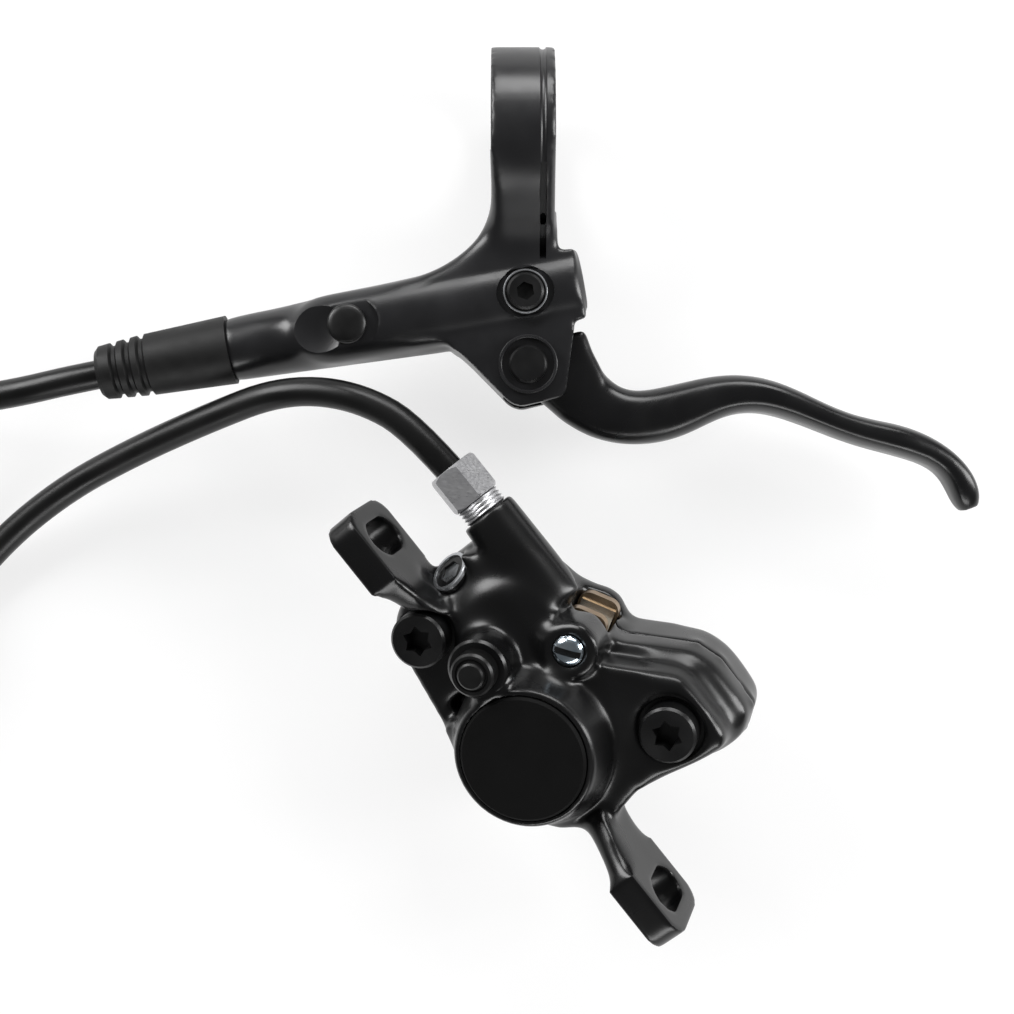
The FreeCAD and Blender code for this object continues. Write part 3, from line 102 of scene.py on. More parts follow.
# Matt white card, lit evenly: to the eye it has no surface of its own, only the soft shadow
card, card_shader = new_finish("white_card", "#f2f2f2", roughness=0.9)
rays = add_node(card, "ShaderNodeLightPath")
seen = add_node(card, "ShaderNodeMath", {"operation": "MAXIMUM"},
                _0=rays.outputs["Is Camera Ray"], _1=rays.outputs["Is Glossy Ray"])
share = add_node(card, "ShaderNodeMath", {"operation": "MULTIPLY", 1: CARD_GLOW},
                 _0=seen.outputs[0])
white = add_node(card, "ShaderNodeEmission", {"Color": (1, 1, 1, 1), "Strength": 1.0})
mix = add_node(card, "ShaderNodeMixShader", _0=share.outputs[0], _1=card_shader.outputs[0],
               _2=white.outputs[0])
feed(card.node_tree.nodes["Material Output"], "Surface", mix.outputs[0])
floor.data.materials.append(card)

ROOM_LIGHT = 0.13
world = bpy.data.worlds.new("studio")
bpy.context.scene.world = world
world.use_nodes = True
room = world.node_tree.nodes["Background"]
room.inputs["Color"].default_value = (1, 1, 1, 1)
room.inputs["Strength"].default_value = ROOM_LIGHT

# Name, place, size and power of each soft box, all aimed at the middle of the object
SOFT_BOXES = [
    ("box_upper_left", (-0.60, 0.45, 0.42), (0.45, 0.45), 7.0),
    ("box_top", (0.10, 0.70, 0.40), (0.60, 0.30), 5.0),
    ("box_right", (0.70, 0.10, 0.36), (0.25, 0.60), 6.0),
    ("box_low", (0.05, -0.75, 0.34), (0.70, 0.22), 3.5),
]
AIMED_AT = Vector((0.0, 0.0, 0.015))
for name, place, size, power in SOFT_BOXES:
    lamp = bpy.data.lights.new(name, "AREA")
    lamp.shape = "RECTANGLE"
    lamp.size, lamp.size_y = size
    lamp.energy = power
    box = bpy.data.objects.new(name, lamp)
    box.location = place
    box.rotation_euler = (AIMED_AT - Vector(place)).to_track_quat("-Z", "Y").to_euler()
    bpy.context.scene.collection.objects.link(box)


# Hose: a 5 mm tube with a smooth black sheath, about a metre long and rather stiff.
# It leaves the lever's boot, lies in a coil to the left, and comes back to the caliper's nut,
# and at both ends an olive on an insert holds it.
def coordinates(material, scale_mm, **mapping):
    """Object coordinates in units of the given size in millimetres."""
    where = add_node(material, "ShaderNodeTexCoord")
    return add_node(material, "ShaderNodeMapping", {"Scale": (1 / (scale_mm * MM),) * 3, **mapping},
                    Vector=where.outputs["Object"])


NOISE_LOW, NOISE_HIGH = 0.3, 0.7
PATCH_SCALE = 0.06


def rough_bump(material, shader, grain_mm, height_mm, low, high):
    """Fine uneven surface: bump of the given grain and height, and a roughness that wanders
    in patches from low to high. The real grain is too fine to show, so it is drawn as coarse
    as it needs."""
    where = coordinates(material, grain_mm)
    grain = add_node(material, "ShaderNodeTexNoise", {"Scale": 1.0, "Detail": 3.0},
                     Vector=where.outputs[0])
    bump = add_node(material, "ShaderNodeBump", {"Strength": 1.0, "Distance": height_mm * MM},
                    Height=grain.outputs[0])
    feed(shader, "Normal", bump.outputs[0])
    patches = add_node(material, "ShaderNodeTexNoise", {"Scale": PATCH_SCALE, "Detail": 2.0},
                       Vector=where.outputs[0])
    spread = add_node(material, "ShaderNodeMapRange",
                      {"From Min": NOISE_LOW, "From Max": NOISE_HIGH,
                       "To Min": low, "To Max": high},
                      Value=patches.outputs[0])
    feed(shader, "Roughness", spread.outputs[0])


HOSE_RADIUS = 2.5 * MM
COIL_MIDDLE = Vector((-136.5, -14.5, 0.0))
COIL_TURNS = 4.5
COIL_STEPS = 20
# Radius and height of each turn's place in the coil, in the order that the hose lies in them
COIL_PLACES = [(30.0, 7.5), (27.5, 11.8), (25.0, 7.5), (25.0, 2.5), (30.0, 2.5)]
# Degrees from the start at which it passes to the next place, and which of the two moves first
COIL_CHANGES = [(334, "height"), (360 + 291, "radius"), (720 + 248, "height"),
                (1080 + 205, "radius")]
CHANGE_LENGTH = 40.0
CHANGE_PACE = 1.6


def eased(share):
    """Share from 0 to 1, with a slow start and end."""
    share = min(max(share, 0.0), 1.0)
    return share * share * (3 - 2 * share)


def coil_point(turned_by):
    """Point of the coil, the given degrees after its start at the far side."""
    radius, height = COIL_PLACES[0]
    for (at_degrees, first), before, after in zip(COIL_CHANGES, COIL_PLACES, COIL_PLACES[1:]):
        share = ((turned_by - at_degrees) / CHANGE_LENGTH + 0.5) * CHANGE_PACE
        early, late = eased(share), eased(share - (CHANGE_PACE - 1))
        radius += (after[0] - before[0]) * (early if first == "radius" else late)
        height += (after[1] - before[1]) * (early if first == "height" else late)
    angle = math.radians(90 + turned_by)
    return (COIL_MIDDLE.x + radius * math.cos(angle), COIL_MIDDLE.y + radius * math.sin(angle),
            height)


# Runs from the boot to the coil, and from the coil up to the nut, in millimetres
LEVER_RUN = [
    (-54.359, 23.209, 15.5), (-77.389, 19.066, 15.5), (-92.0, 15.9, 12.6), (-106.0, 14.6, 8.0),
    (-121.0, 14.9, 6.2)]
CALIPER_RUN = [
    (-124.5, -42.4, 2.5), (-115.0, -33.0, 2.6), (-105.5, -21.4, 3.0), (-95.5, -9.5, 4.2),
    (-83.5, -0.4, 7.4), (-70.5, 6.0, 12.0), (-57.0, 11.4, 17.6), (-43.2, 16.2, 22.9),
    (-30.5, 15.1, 26.6), (-19.305, 8.622, 27.931), (-4.999, -9.258, 27.931)]
coil_points = [coil_point(360 / COIL_STEPS * step)
               for step in range(int(COIL_TURNS * COIL_STEPS) + 1)]
hose_curve = bpy.data.curves.new("brake_hose", "CURVE")
hose_curve.dimensions = "3D"
hose_curve.resolution_u = 8
hose_curve.bevel_depth = HOSE_RADIUS
hose_curve.bevel_resolution = 5
hose_curve.use_fill_caps = True
spline = hose_curve.splines.new("NURBS")
points = LEVER_RUN + coil_points + CALIPER_RUN
spline.points.add(len(points) - 1)
for point, place in zip(spline.points, points):
    point.co = (*(Vector(place) * MM), 1.0)
spline.order_u = 3
spline.use_endpoint_u = True
hose = bpy.data.objects.new("brake_hose", hose_curve)
bpy.context.scene.collection.objects.link(hose)
# The same curve with no thickness, made into a mesh of its line
line = hose_curve.copy()
line.bevel_depth = 0.0
line_object = bpy.data.objects.new("hose_line", line)
line_mesh = bpy.data.meshes.new_from_object(line_object)
bpy.data.objects.remove(line_object)
# Extruded nylon sheath: smooth, with one soft line of light along the tube
sheath, shader = new_finish("hose_sheath_smooth", "#0a0a0a", roughness=0.34,
                            Specular_IOR_Level=0.32)
rough_bump(sheath, shader, grain_mm=0.5, height_mm=0.012, low=0.28, high=0.42)
hose.data.materials.append(sheath)
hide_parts("hose_lever_run", "hose_coil", "hose_caliper_run")
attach(hose, "unit")


# Lever body: forged aluminium, machined on the pod and clevis, then black anodised.
# The forging blends the neck into the barrel, and the recesses are cut sharp after it.
# Its band is clamped round the handlebar, and its barrel holds the master cylinder.
def at(x, y, z):
    """Move by millimetres."""
    return Matrix.Translation(Vector((x, y, z)) * MM)


def turned(degrees, axis):
    """Turn about an axis."""
    return Matrix.Rotation(math.radians(degrees), 4, axis)


def near(value, low, high):
    """Share from 0 to 1 as a value passes from low to high."""
    return eased((value - low) / (high - low))


def fading(value, low, high):
    """Share from 1 to 0 as a value passes from low to high."""
    return near(-value, -high, -low)


def apart(x, y, place):
    """Distance from a place in the frame's plane."""
    return math.hypot(x - place[0], y - place[1])


def select_none():
    if bpy.context.object and bpy.context.object.mode == "EDIT":
        bpy.ops.object.mode_set(mode="OBJECT")
    bpy.ops.object.select_all(action="DESELECT")


def solo(piece):
    select_none()
    piece.select_set(True)
    bpy.context.view_layer.objects.active = piece


def apply_modifier(piece, name, kind, **settings):
    solo(piece)
    modifier = piece.modifiers.new(name, kind)
    for key, value in settings.items():
        setattr(modifier, key, value)
    bpy.ops.object.modifier_apply(modifier=modifier.name)


def stepped_disc(name, frame_of, base, radius, steps, place=(0.0, 0.0)):
    """Turned disc about the frame's Z axis, or a place beside it: from its base, each step gives
    the height and radius of the next edge."""
    select_none()
    bpy.ops.mesh.primitive_circle_add(vertices=96, radius=radius * MM, fill_type="NGON")
    disc = bpy.context.object
    disc.name = name
    disc.data.transform(Matrix.Translation((0, 0, base * MM)))
    last_height, last_radius = base, radius
    bpy.ops.object.mode_set(mode="EDIT")
    bpy.ops.mesh.select_all(action="SELECT")
    for height, radius in steps:
        bpy.ops.mesh.extrude_region_move(
            TRANSFORM_OT_translate={"value": (0, 0, (height - last_height) * MM)})
        share = radius / last_radius
        bpy.ops.transform.resize(value=(share, share, 1.0), center_override=(0, 0, 0))
        last_height, last_radius = height, radius
    bpy.ops.mesh.select_all(action="SELECT")
    bpy.ops.mesh.normals_make_consistent(inside=False)
    bpy.ops.object.mode_set(mode="OBJECT")
    disc.data.transform(frame_of @ at(*place, 0))
    return disc


def use_tool(piece, tool, way="DIFFERENCE"):
    """Cuts a piece with a tool, or joins the tool to it, and clears the tool away."""
    apply_modifier(piece, "machined_cut", "BOOLEAN", operation=way, object=tool, solver="MANIFOLD")
    bpy.data.objects.remove(tool)


def cut_round(piece, frame_of, low, high, radius, place=(0.0, 0.0), edge=0.0, past=6.0):
    """Cuts a round hole down from the surface at high. The edge is the width of its chamfer
    there, and the cutter runs on past that surface."""
    use_tool(piece, stepped_disc("cutter", frame_of, low, radius, [
        (high - edge, radius), (high, radius + edge), (high + past, radius + edge)], place))


def add_round(piece, frame_of, low, high, radius, place=(0.0, 0.0), edge=0.0):
    """Adds a round boss with a chamfered top."""
    use_tool(piece, stepped_disc("boss", frame_of, low, radius, [
        (high - edge, radius), (high, radius - edge)], place), "UNION")


def block(frame_of, low, high):
    """Box between two corners, in the frame's own millimetres."""
    select_none()
    bpy.ops.mesh.primitive_cube_add(size=1.0)
    tool = bpy.context.object
    low, high = Vector(low), Vector(high)
    tool.data.transform(frame_of @ at(*((low + high) / 2))
                        @ Matrix.Diagonal((*((high - low) * MM), 1.0)))
    return tool


def blended_copy(node, name, frame_of, voxel, soft, passes, tools=()):
    """Copy of a CAD node, worked with the tools, whose edges and joins are then rounded in two
    rounds of smoothing, each where its soft function is above 0 in the frame's millimetres."""
    piece = bpy.data.objects.new(name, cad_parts[node].data.copy())
    bpy.context.scene.collection.objects.link(piece)
    piece.data.materials.clear()
    solo(piece)
    bpy.ops.object.mode_set(mode="EDIT")
    bpy.ops.mesh.select_all(action="SELECT")
    bpy.ops.mesh.remove_doubles(threshold=1e-6)
    bpy.ops.object.mode_set(mode="OBJECT")
    for tool, way in tools:
        use_tool(piece, tool, way)
    piece.data.transform(frame_of.inverted())
    apply_modifier(piece, "even_mesh", "REMESH", mode="VOXEL", voxel_size=voxel * MM)
    for group_name, weight, count in zip(("all_over", "blends"), soft, passes):
        group = piece.vertex_groups.new(name=group_name)
        levels = {}
        for vertex in piece.data.vertices:
            share = round(weight(*(vertex.co / MM)), 1)
            levels.setdefault(share, []).append(vertex.index)
        for share, members in levels.items():
            group.add(members, share, "REPLACE")
        apply_modifier(piece, "rounding", "SMOOTH", factor=0.5, iterations=count,
                       vertex_group=group_name)
    piece.data.transform(frame_of)
    return piece


def finish_piece(piece, material, body="unit", nodes=(), angle=35.0):
    """Shading, material and body of a finished piece, and the nodes it stands for."""
    solo(piece)
    piece.data.materials.clear()
    piece.data.materials.append(material)
    bpy.ops.object.shade_smooth_by_angle(angle=math.radians(angle))
    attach(piece, body)
    if nodes:
        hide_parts(*nodes)


def tinted(material, shader, size_mm, dark, light):
    """Colour that wanders between two near shades, as real finishes do."""
    where = coordinates(material, size_mm)
    cloud = add_node(material, "ShaderNodeTexNoise", {"Scale": 1.0, "Detail": 4.0},
                     Vector=where.outputs[0])
    shades = add_node(material, "ShaderNodeMix",
                      {"data_type": "RGBA", 6: linear(dark), 7: linear(light)},
                      _0=cloud.outputs[0])
    feed(shader, "Base Color", shades.outputs[2])


# Frame of the barrel: X runs along it from the pivot's side, Z up. Places of its ports and pivot
LEVER = at(-4.165, 32.240, 15.5) @ turned(10.2, "Z")
BLEED_PORT = (1.7, 0.0)
PLUG_RECESS = (-27.75, 0.0)
PIVOT = (0.0, -12.0)
RESERVOIR_RADIUS = 7.8
RECESS_FLOOR = 7.0
BOSS_TOP = 7.9
BORE_RADIUS = 4.58
# Middle of the handlebar in the clamp, the sides of its band, and the radius of its groove
BAR = (-2.889, 59.426, 15.5)
BAND_LEFT, BAND_RIGHT = -8.23, 2.45
GROOVE_X, GROOVE_RADIUS = 0.45, 15.75


def lever_all_over(x, y, z):
    """Everywhere but the bore, the clevis and the recesses on top."""
    in_bore = math.hypot(y, z) < 5.2
    in_clevis = y < -7.2
    recess = min(apart(x, y, place) for place in (BLEED_PORT, PLUG_RECESS, PIVOT))
    return 0.0 if in_bore or in_clevis else near(recess, 4.6, 6.0) if z > 4 else 1.0


def lever_blends(x, y, z):
    """Where the neck meets the barrel and the clamp, and where the pod runs out to the left."""
    neck = near(y, 4.0, 7.5) * fading(y, 16.0, 24.0) * fading(x, 6.0, 9.0)
    band = 0.6 * near(y, 9.0, 13.0) * fading(y, 19.0, 24.0) * near(abs(z), 3.0, 6.0)
    pod_end = fading(x, -37.0, -33.0) * near(z, 0.0, 3.0) * near(x, -47.0, -41.0)
    sides = (near(abs(y), 3.6, 4.8) * fading(x, -16.0, -12.0) * near(x, -46.0, -41.0)
             * near(z, -1.0, 2.0))
    return max(neck, band, pod_end, sides)


def outside_reservoir(low, high):
    """What stands outside the round top of the reservoir, between two corners."""
    waste = block(LEVER, low, high)
    select_none()
    bpy.ops.mesh.primitive_cylinder_add(vertices=160, radius=RESERVOIR_RADIUS * MM, depth=200 * MM)
    round_top = bpy.context.object
    round_top.data.transform(LEVER @ turned(90, "Y"))
    use_tool(waste, round_top)
    return waste


# Black anodising on a fine blast: satin, with broad soft highlights and a hint of grey
anodised, shader = new_finish("anodised_forged_aluminium_black", "#141415", roughness=0.36,
                              Specular_IOR_Level=0.5)
rough_bump(anodised, shader, grain_mm=0.35, height_mm=0.004, low=0.28, high=0.36)
tinted(anodised, shader, size_mm=6.0, dark="#111112", light="#18181a")
# Where the neck's top rises into the clamp's band
BAND_RAMP = at(BAR[0], 49.5, 27.4) @ turned(30, "X")
body = blended_copy(
    "lever_body", "forged_lever_body", LEVER, voxel=0.42,
    soft=(lever_all_over, lever_blends), passes=(14, 150),
    tools=[(outside_reservoir((-20.0, -24.0, 6.4), (12.5, 9.0, 12.0)), "DIFFERENCE"),
           (outside_reservoir((-40.0, -9.0, 0.5), (-19.99, 9.0, 12.0)), "DIFFERENCE"),
           (block(BAND_RAMP, (-5.3, -12.0, -4.0), (5.3, 0.0, 0.0)), "UNION")])
# Hollow at the left end of the reservoir, round the port plug
select_none()
bpy.ops.mesh.primitive_uv_sphere_add(segments=96, ring_count=48, radius=1.0)
hollow = bpy.context.object
hollow.data.transform(LEVER @ at(-34.2, 0.0, 9.35)
                      @ Matrix.Diagonal((6.6 * MM, 7.4 * MM, 3.2 * MM, 1.0)))
use_tool(body, hollow)
# Boss and recess of the pivot pin, then those of the bleed screw, the plug and the bore
add_round(body, LEVER, low=5.0, high=BOSS_TOP, radius=4.95, place=PIVOT, edge=0.15)
cut_round(body, LEVER, low=6.72, high=BOSS_TOP, radius=4.4, place=PIVOT, edge=0.12)
add_round(body, LEVER, low=6.0, high=7.7, radius=4.45, place=BLEED_PORT)
for shift in (-0.85, 0.85):
    cut_round(body, LEVER, low=RECESS_FLOOR, high=7.72, radius=3.98,
              place=(BLEED_PORT[0] + shift, 0.0), edge=0.1)
cut_round(body, LEVER, low=RECESS_FLOOR, high=7.8, radius=4.4, place=PLUG_RECESS, edge=0.1)
cut_round(body, LEVER @ turned(90, "Y"), low=-40.5, high=2.2, radius=BORE_RADIUS, past=0.1)
# Groove that divides the clamp's band, and its side faces, machined square to the bar
select_none()
bpy.ops.mesh.primitive_torus_add(major_segments=160, minor_segments=16,
                                 major_radius=GROOVE_RADIUS * MM, minor_radius=0.65 * MM)
groove = bpy.context.object
groove.data.transform(at(GROOVE_X, *BAR[1:]) @ turned(90, "Y"))
# The part's own frame, which is square to the bar
SQUARE = Matrix.Identity(4)
for tool in (groove, block(BAND_RAMP, (2.8, -12.5, -2.7), (3.9, 4.0, 3.0)),
             block(SQUARE, (BAND_RIGHT, 46.0, -1.0), (6.0, 80.0, 33.0)),
             block(SQUARE, (-12.0, 55.0, -1.0), (BAND_LEFT, 80.0, 33.0))):
    use_tool(body, tool)
finish_piece(body, anodised, nodes=["lever_body"])


# Ports of the reservoir: a rubber plug on the left, and the bleed screw with its ring seal on the
# right. The bleed screw's collar is turned, and its bare edge shows as a thin bright ring: bright
# steel that is partly a painted glint.
def dress(material, *nodes):
    """Gives CAD nodes a material, with their shape as it is."""
    for node in nodes:
        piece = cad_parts[node]
        piece.data.materials.clear()
        piece.data.materials.append(material)


# Black oxide on turned steel: deep black with small sharp glints on the edges
oxide, shader = new_finish("steel_black_oxide", "#0a0a0b", roughness=0.3, Specular_IOR_Level=0.42)
rough_bump(oxide, shader, grain_mm=0.4, height_mm=0.006, low=0.25, high=0.42)
tinted(oxide, shader, size_mm=2.0, dark="#080808", light="#0e0e0f")
# Rubber from a polished mould: black with a soft sheen
plug_rubber, shader = new_finish("moulded_rubber_plug", "#070707", roughness=0.36,
                                 Specular_IOR_Level=0.4)
rough_bump(plug_rubber, shader, grain_mm=0.25, height_mm=0.005, low=0.30, high=0.42)
# Steel turned bare on the collar's edge: a bright line, partly a painted glint, with a little wear
glint_steel, shader = new_finish("bare_steel_painted_glint", "#b9bbbe", roughness=0.28,
                                 metallic=0.9)
rough_bump(glint_steel, shader, grain_mm=0.3, height_mm=0.006, low=0.22, high=0.36)
dress(oxide, "bleed_screw", "pivot_pin", "pivot_pin_clip", "clamp_bolt", "body_bolt_left",
      "body_bolt_right")
dress(plug_rubber, "bleed_screw_o_ring")
plug = stepped_disc("domed_port_plug", LEVER, 6.6, 3.3, [
    (8.15, 3.3), (8.4, 3.15), (8.58, 2.8), (8.7, 2.2), (8.76, 1.3), (8.78, 0.6)],
    place=(-28.65, 0.0))
finish_piece(plug, plug_rubber, nodes=["port_plug"], angle=60.0)
COLLAR_BASE, COLLAR_OUTER, COLLAR_INNER = 7.05, 3.72, 3.42
# Collar of bright steel: its thin bright ring is partly a painted glint
collar = stepped_disc("bleed_screw_collar", LEVER, COLLAR_BASE, COLLAR_OUTER, [
    (8.2, COLLAR_OUTER), (8.3, 3.64), (8.3, 3.5), (8.2, COLLAR_INNER),
    (COLLAR_BASE, COLLAR_INNER)], place=BLEED_PORT)
finish_piece(collar, glint_steel)


# Lever blade: die-cast aluminium under semi-gloss black paint, thick at the pivot and thin at
# the finger, with its sections blended into one another. It turns on two bushes on the pivot pin.
BLADE = at(-2.04, 20.43, 15.5)


def blade_all_over(x, y, z):
    """Everywhere but the hub."""
    return near(math.hypot(x, y), 5.2, 6.5)


def blade_blends(x, y, z):
    """Where the hub's arm runs into the finger's part."""
    return near(x, 5.6, 8.0) * fading(x, 22.0, 30.0)


# Semi-gloss paint: black, with long narrow highlights that follow the blade's curves
blade_paint, shader = new_finish("die_cast_aluminium_semi_gloss_black", "#0a0a0b", roughness=0.26,
                                 Specular_IOR_Level=0.4)
rough_bump(blade_paint, shader, grain_mm=0.5, height_mm=0.005, low=0.24, high=0.34)
tinted(blade_paint, shader, size_mm=5.0, dark="#080809", light="#0d0d0e")
blade = blended_copy("lever_blade", "cast_lever_blade", BLADE, voxel=0.36,
                     soft=(blade_all_over, blade_blends), passes=(6, 70))
finish_piece(blade, blade_paint, body="blade", nodes=["lever_blade"])


# Boot over the lever's hose fitting: rubber, moulded in one piece with grip rings at its end,
# and pushed over the hose and the barrel's nipple.

# Mould-matte rubber, a little dusty in the grooves
boot_rubber, shader = new_finish("moulded_rubber_matte", "#0a0a0a", roughness=0.5,
                                 Specular_IOR_Level=0.3)
rough_bump(boot_rubber, shader, grain_mm=0.3, height_mm=0.012, low=0.46, high=0.62)
tinted(boot_rubber, shader, size_mm=1.5, dark="#080808", light="#0d0d0d")
dress(boot_rubber, "hose_boot")


# Hose fittings: hexagon nuts of drawn steel with a satin zinc finish. The caliper's nut is
# screwed into its port, and stands out of it on a few turns of thread.
CALIPER_TURN = -51.34
# Frame of the caliper: Z is square to the pads, and the unit lies turned by this angle and
# tilted by 20 degrees on its tabs. Written out to four digits, as its shapes were drawn
CALIPER = at(-2.34, -36.97, 16.0) @ Matrix(((0.6247, 0.7337, -0.2671, 0),
                                            (-0.7808, 0.5870, -0.2137, 0),
                                            (0.0, 0.3420, 0.9397, 0),
                                            (0, 0, 0, 1)))
# Frame of the hose port: Z runs out of it, along the hose
PORT = CALIPER @ at(-29.7, 18.4, 6.0) @ turned(-90, "Y")
NUT_FLATS = 8.0
NUT_CORNERS = 4.64
NUT_LOW, NUT_HIGH = 2.5, 9.3
NUT_CHAMFER = 0.6
NUT_END_RADIUS = 3.95
THREAD_PITCH = 0.7
THREAD_ROOT, THREAD_CREST = 3.5, 3.85
# Drawn steel under zinc: grey and satin, with faint lines along the bar that it was cut from
DRAWN_LENGTH, DRAWN_WIDTH = 4.0, 0.25
nut_steel, shader = new_finish("drawn_steel_satin_zinc", "#a6a6a8", roughness=0.4, metallic=0.8)
where = coordinates(nut_steel, DRAWN_WIDTH, Rotation=(0.0, 0.0, math.radians(-CALIPER_TURN)),
                    Scale=[1 / (size * MM) for size in (DRAWN_LENGTH, DRAWN_WIDTH, DRAWN_WIDTH)])
drawn = add_node(nut_steel, "ShaderNodeTexNoise", {"Scale": 1.0, "Detail": 3.0},
                 Vector=where.outputs[0])
lines = add_node(nut_steel, "ShaderNodeBump", {"Strength": 0.6, "Distance": 0.01 * MM},
                 Height=drawn.outputs[0])
feed(shader, "Normal", lines.outputs[0])
sheen = add_node(nut_steel, "ShaderNodeMapRange",
                 {"From Min": NOISE_LOW, "From Max": NOISE_HIGH,
                  "To Min": 0.26, "To Max": 0.44},
                 Value=drawn.outputs[0])
feed(shader, "Roughness", sheen.outputs[0])
tinted(nut_steel, shader, size_mm=3.0, dark="#9a9a9d", light="#b4b4b5")
dress(nut_steel, "lever_hose_nut", "lever_hose_insert", "caliper_hose_insert")
select_none()
bpy.ops.mesh.primitive_cylinder_add(vertices=6, radius=NUT_FLATS / math.sqrt(3) * MM,
                                    depth=(NUT_HIGH - NUT_LOW) * MM)
nut = bpy.context.object
nut.name = "chamfered_hose_nut"
nut.data.transform(PORT @ at(0, 0, (NUT_LOW + NUT_HIGH) / 2))
use_tool(nut, stepped_disc("chamfers", PORT, NUT_LOW, NUT_END_RADIUS, [
    (NUT_LOW + NUT_CHAMFER, NUT_CORNERS), (NUT_HIGH - NUT_CHAMFER, NUT_CORNERS),
    (NUT_HIGH, NUT_END_RADIUS)]), "INTERSECT")
cut_round(nut, PORT, low=2.0, high=NUT_HIGH, radius=2.56, edge=0.2)
apply_modifier(nut, "broken_edges", "BEVEL", width=0.12 * MM, segments=2, limit_method="ANGLE",
               angle_limit=math.radians(25))
finish_piece(nut, nut_steel, nodes=["caliper_hose_nut"])
thread = stepped_disc("caliper_nut_thread", PORT, -0.4, 3.4, [
    (height + THREAD_PITCH * turn, radius) for turn in range(4) for height, radius in (
        (-0.2, THREAD_ROOT), (0.05, THREAD_CREST), (0.15, THREAD_CREST), (0.4, THREAD_ROOT))])
finish_piece(thread, nut_steel, angle=60.0)


# Caliper, front half: cast aluminium with rounded blends, machined seats and satin black paint.
# The seats for the bolts, the cover, the pin and the bleed cap are cut after casting. Two bolts
# hold it to the rear half.
LEFT_BOLT, RIGHT_BOLT = (-20.1, -2.0), (16.3, 21.8)
COVER = (5.1, 1.8)
PIN = (-4.0, 17.56)
BLEED_CAP = (-10.8, 5.3)
DOME = (-13.0, 10.0)


def cast_all_over(x, y, z):
    """A casting has no sharp edge anywhere."""
    return 1.0


def front_blends(x, y, z):
    """Everywhere but the seats, the tabs' ends and the surfaces between the halves."""
    inside = near(z, 1.0, 3.0)
    rim = 1.0 - near(z, 16.6, 17.4) * fading(apart(x, y, COVER), 11.6, 12.6)
    seats = near(min(apart(x, y, LEFT_BOLT), apart(x, y, RIGHT_BOLT)), 4.9, 6.0)
    wing = near(math.hypot(x, y), 23.0, 28.0) * near(x, -2.0, 2.0)
    dome = fading(apart(x, y, DOME), 11.0, 15.0)
    arms = near(abs(x), 18.0, 22.0) * fading(abs(x), 27.0, 30.0) * fading(y, 0.0, 3.0)
    tabs = near(abs(x), 28.5, 30.5)
    blends = max(0.16, 0.9 * wing, dome, arms) * (1.0 - tabs) + 0.04 * tabs
    return inside * rim * seats * blends


# Satin paint on a casting: near black, and the rounded forms read by their soft highlights
cast_paint, shader = new_finish("cast_aluminium_satin_black_paint", "#080809", roughness=0.3,
                                Specular_IOR_Level=0.42)
rough_bump(cast_paint, shader, grain_mm=0.7, height_mm=0.004, low=0.24, high=0.34)
tinted(cast_paint, shader, size_mm=4.0, dark="#060606", light="#0a0a0b")
# Web that runs from the left bolt's lug along the piston's boss
WEB = CALIPER @ at(-21.07, -7.82, 0) @ turned(-9.49, "Z")
front = blended_copy(
    "caliper_housing_front", "cast_caliper_front", CALIPER, voxel=0.42,
    soft=(cast_all_over, front_blends), passes=(6, 190),
    tools=[(block(WEB, (0.0, 0.15, 6.3), (24.2, 3.2, 10.2)), "UNION")])
add_round(front, CALIPER, low=9.0, high=19.5, radius=5.0, place=BLEED_CAP, edge=0.4)
for place, low, high, radius in (
        (LEFT_BOLT, 10.4, 24.0, 5.45), (RIGHT_BOLT, 10.4, 24.0, 5.45),
        (COVER, 17.2, 19.2, 10.6), (PIN, 13.5, 24.0, 2.85)):
    cut_round(front, CALIPER, low, high, radius, place, edge=0.12)
finish_piece(front, cast_paint, nodes=["caliper_housing_front"])


# Caliper, rear half: the same casting and paint, slanted where it clears the wheel's spokes.
# The two body bolts pull it against the front half.
def rear_blends(x, y, z):
    """Everywhere but the surfaces between the halves, and most on the wing."""
    wing = 0.3 + 0.7 * near(math.hypot(x, y), 27.0, 31.0)
    return fading(z, -3.0, -1.0) * wing


rear = blended_copy("caliper_housing_rear", "cast_caliper_rear", CALIPER, voxel=0.45,
                    soft=(cast_all_over, rear_blends), passes=(6, 200))
finish_piece(rear, cast_paint, nodes=["caliper_housing_rear"])


# Piston cover: a moulded disc that closes the front piston's bore, left plain.
# It is pressed in, and a ring seal holds it. The pistons' seals are of the same rubber.

# Glass-filled plastic: the mattest black on the unit, with hardly a highlight
cover_plastic, shader = new_finish("moulded_cover_matte_black", "#070707", roughness=0.6,
                                   Specular_IOR_Level=0.1)
rough_bump(cover_plastic, shader, grain_mm=0.25, height_mm=0.008, low=0.56, high=0.68)
tinted(cover_plastic, shader, size_mm=3.0, dark="#050505", light="#080808")
dress(cover_plastic, "piston_cover")
dress(plug_rubber, "piston_cover_seal", "front_piston_seal", "rear_piston_seal", "primary_cup",
      "secondary_seal")


# Bleed nipple's cap: a stepped round cap of moulded rubber with a raised middle,
# pressed over the nipple on its cast seat.
CAP_RADIUS = 3.6
cap = stepped_disc("ringed_bleed_cap", CALIPER, 19.5, CAP_RADIUS, [
    (22.2, CAP_RADIUS), (22.6, 3.25), (22.6, 2.75), (22.35, 2.55), (22.35, 2.35),
    (23.1, 2.2), (23.35, 1.9)], place=BLEED_CAP)
finish_piece(cap, plug_rubber, nodes=["bleed_cap"])
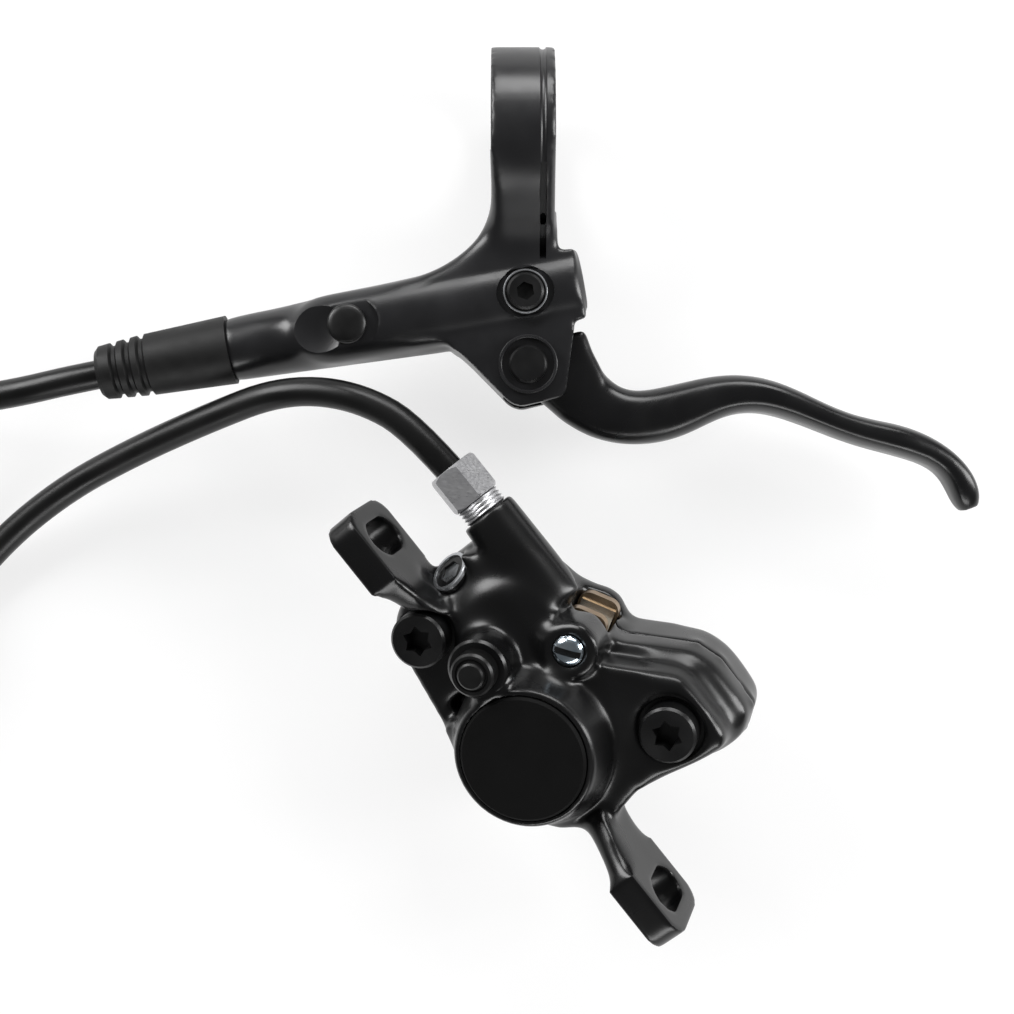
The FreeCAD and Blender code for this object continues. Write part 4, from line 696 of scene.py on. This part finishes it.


# Side port's plug: turned steel with a hexagon socket, screwed into the port for a hose that
# comes from the left. Its bright ring, of steel that is partly a painted glint, lies round the dark
# socket.
SIDE_PORT = CALIPER @ at(-25.2, 7.4, 7.4) @ turned(-55, "Y")
RING_BASE, RING_OUTER, RING_INNER = 0.1, 3.66, 2.95
dress(oxide, "side_port_plug")
# Ring of bright steel round the socket: partly a painted glint
ring = stepped_disc("side_port_ring", SIDE_PORT, RING_BASE, RING_OUTER, [
    (0.75, RING_OUTER), (0.9, 3.5), (0.9, 3.05), (0.75, RING_INNER), (RING_BASE, RING_INNER)])
finish_piece(ring, glint_steel)


# Pads and their spring: stamped plates with a bronze look, pressed resin linings and a strip
# of spring steel between them. They hang on the pad pin, and slide on it towards the rotor.

# Plated sheet: warm brown metal with a satin sheen
bronze, shader = new_finish("stamped_plate_bronze", "#8d7861", roughness=0.38, metallic=0.85)
rough_bump(bronze, shader, grain_mm=0.3, height_mm=0.01, low=0.3, high=0.46)
tinted(bronze, shader, size_mm=2.0, dark="#7c6954", light="#9c866c")
dress(bronze, "front_pad_plate", "rear_pad_plate")
# Pressed resin with chips of metal: rough, dark and speckled
resin, shader = new_finish("pressed_resin_lining", "#2b2622", roughness=0.85)
rough_bump(resin, shader, grain_mm=0.4, height_mm=0.05, low=0.75, high=0.95)
tinted(resin, shader, size_mm=0.5, dark="#1f1b18", light="#4a4038")
dress(resin, "front_pad_lining", "rear_pad_lining")
# Rolled spring steel: bright and smooth, like a mirror that is a little dull
spring_steel, shader = new_finish("rolled_spring_steel_bright", "#cac6be", roughness=0.24,
                                  metallic=1.0)
rough_bump(spring_steel, shader, grain_mm=0.4, height_mm=0.004, low=0.18, high=0.3)
dress(spring_steel, "pad_spring", "return_spring", "bore_clip", "pad_pin_clip")


# Pad pin: turned steel with a slotted head, screwed in from the front half.
# A black disc at the slot's floor is painted shade, since no light reaches it there.
HEAD_BASE, HEAD_RADIUS = 13.6, 2.45
SLOT_FLOOR = 14.82
# Bluish bright zinc: the one bright spot on the caliper, with blue and white patches
zinc, shader = new_finish("turned_steel_blue_zinc", "#c7d3dd", roughness=0.2, metallic=1.0)
rough_bump(zinc, shader, grain_mm=0.5, height_mm=0.006, low=0.14, high=0.28)
tinted(zinc, shader, size_mm=1.6, dark="#87a3b8", light="#f4f9fc")
dress(zinc, "pad_pin")
head = stepped_disc("slotted_pin_head", CALIPER, HEAD_BASE, HEAD_RADIUS, [
    (14.7, HEAD_RADIUS), (15.15, 2.1), (15.35, 1.5), (15.4, 0.8)], place=PIN)
use_tool(head, block(CALIPER @ at(*PIN, 0) @ turned(38, "Z"),
                     (-4.0, -0.55, 14.76), (4.0, 0.55, 17.0)))
finish_piece(head, zinc)
# Black oxide disc in the slot: painted shade at its floor
shade_disc = stepped_disc("painted_shade_slot_floor", CALIPER, 14.5, 2.2, [(SLOT_FLOOR, 2.2)], place=PIN)
finish_piece(shade_disc, oxide)


# Pieces inside: turned aluminium, brass olives and resin pistons, all hidden when assembled.
# They are pushed into the bores, and the clips and fittings keep them there.

# Turned aluminium: clean pale grey metal
turned_aluminium, shader = new_finish("turned_aluminium", "#c4c4c4", roughness=0.3, metallic=1.0)
rough_bump(turned_aluminium, shader, grain_mm=0.3, height_mm=0.004, low=0.25, high=0.36)
dress(turned_aluminium, "push_rod", "master_piston", "pivot_bush_upper", "pivot_bush_lower",
      "bleed_nipple")
# Turned brass: yellow metal with a soft shine
brass, shader = new_finish("turned_brass", "#b8935a", roughness=0.3, metallic=1.0)
rough_bump(brass, shader, grain_mm=0.3, height_mm=0.004, low=0.25, high=0.36)
dress(brass, "lever_olive", "caliper_olive")
# Moulded resin: off-white and slightly glossy
white_resin, shader = new_finish("moulded_resin_white", "#d2cfc6", roughness=0.35)
rough_bump(white_resin, shader, grain_mm=0.4, height_mm=0.006, low=0.3, high=0.42)
dress(white_resin, "front_piston", "rear_piston")
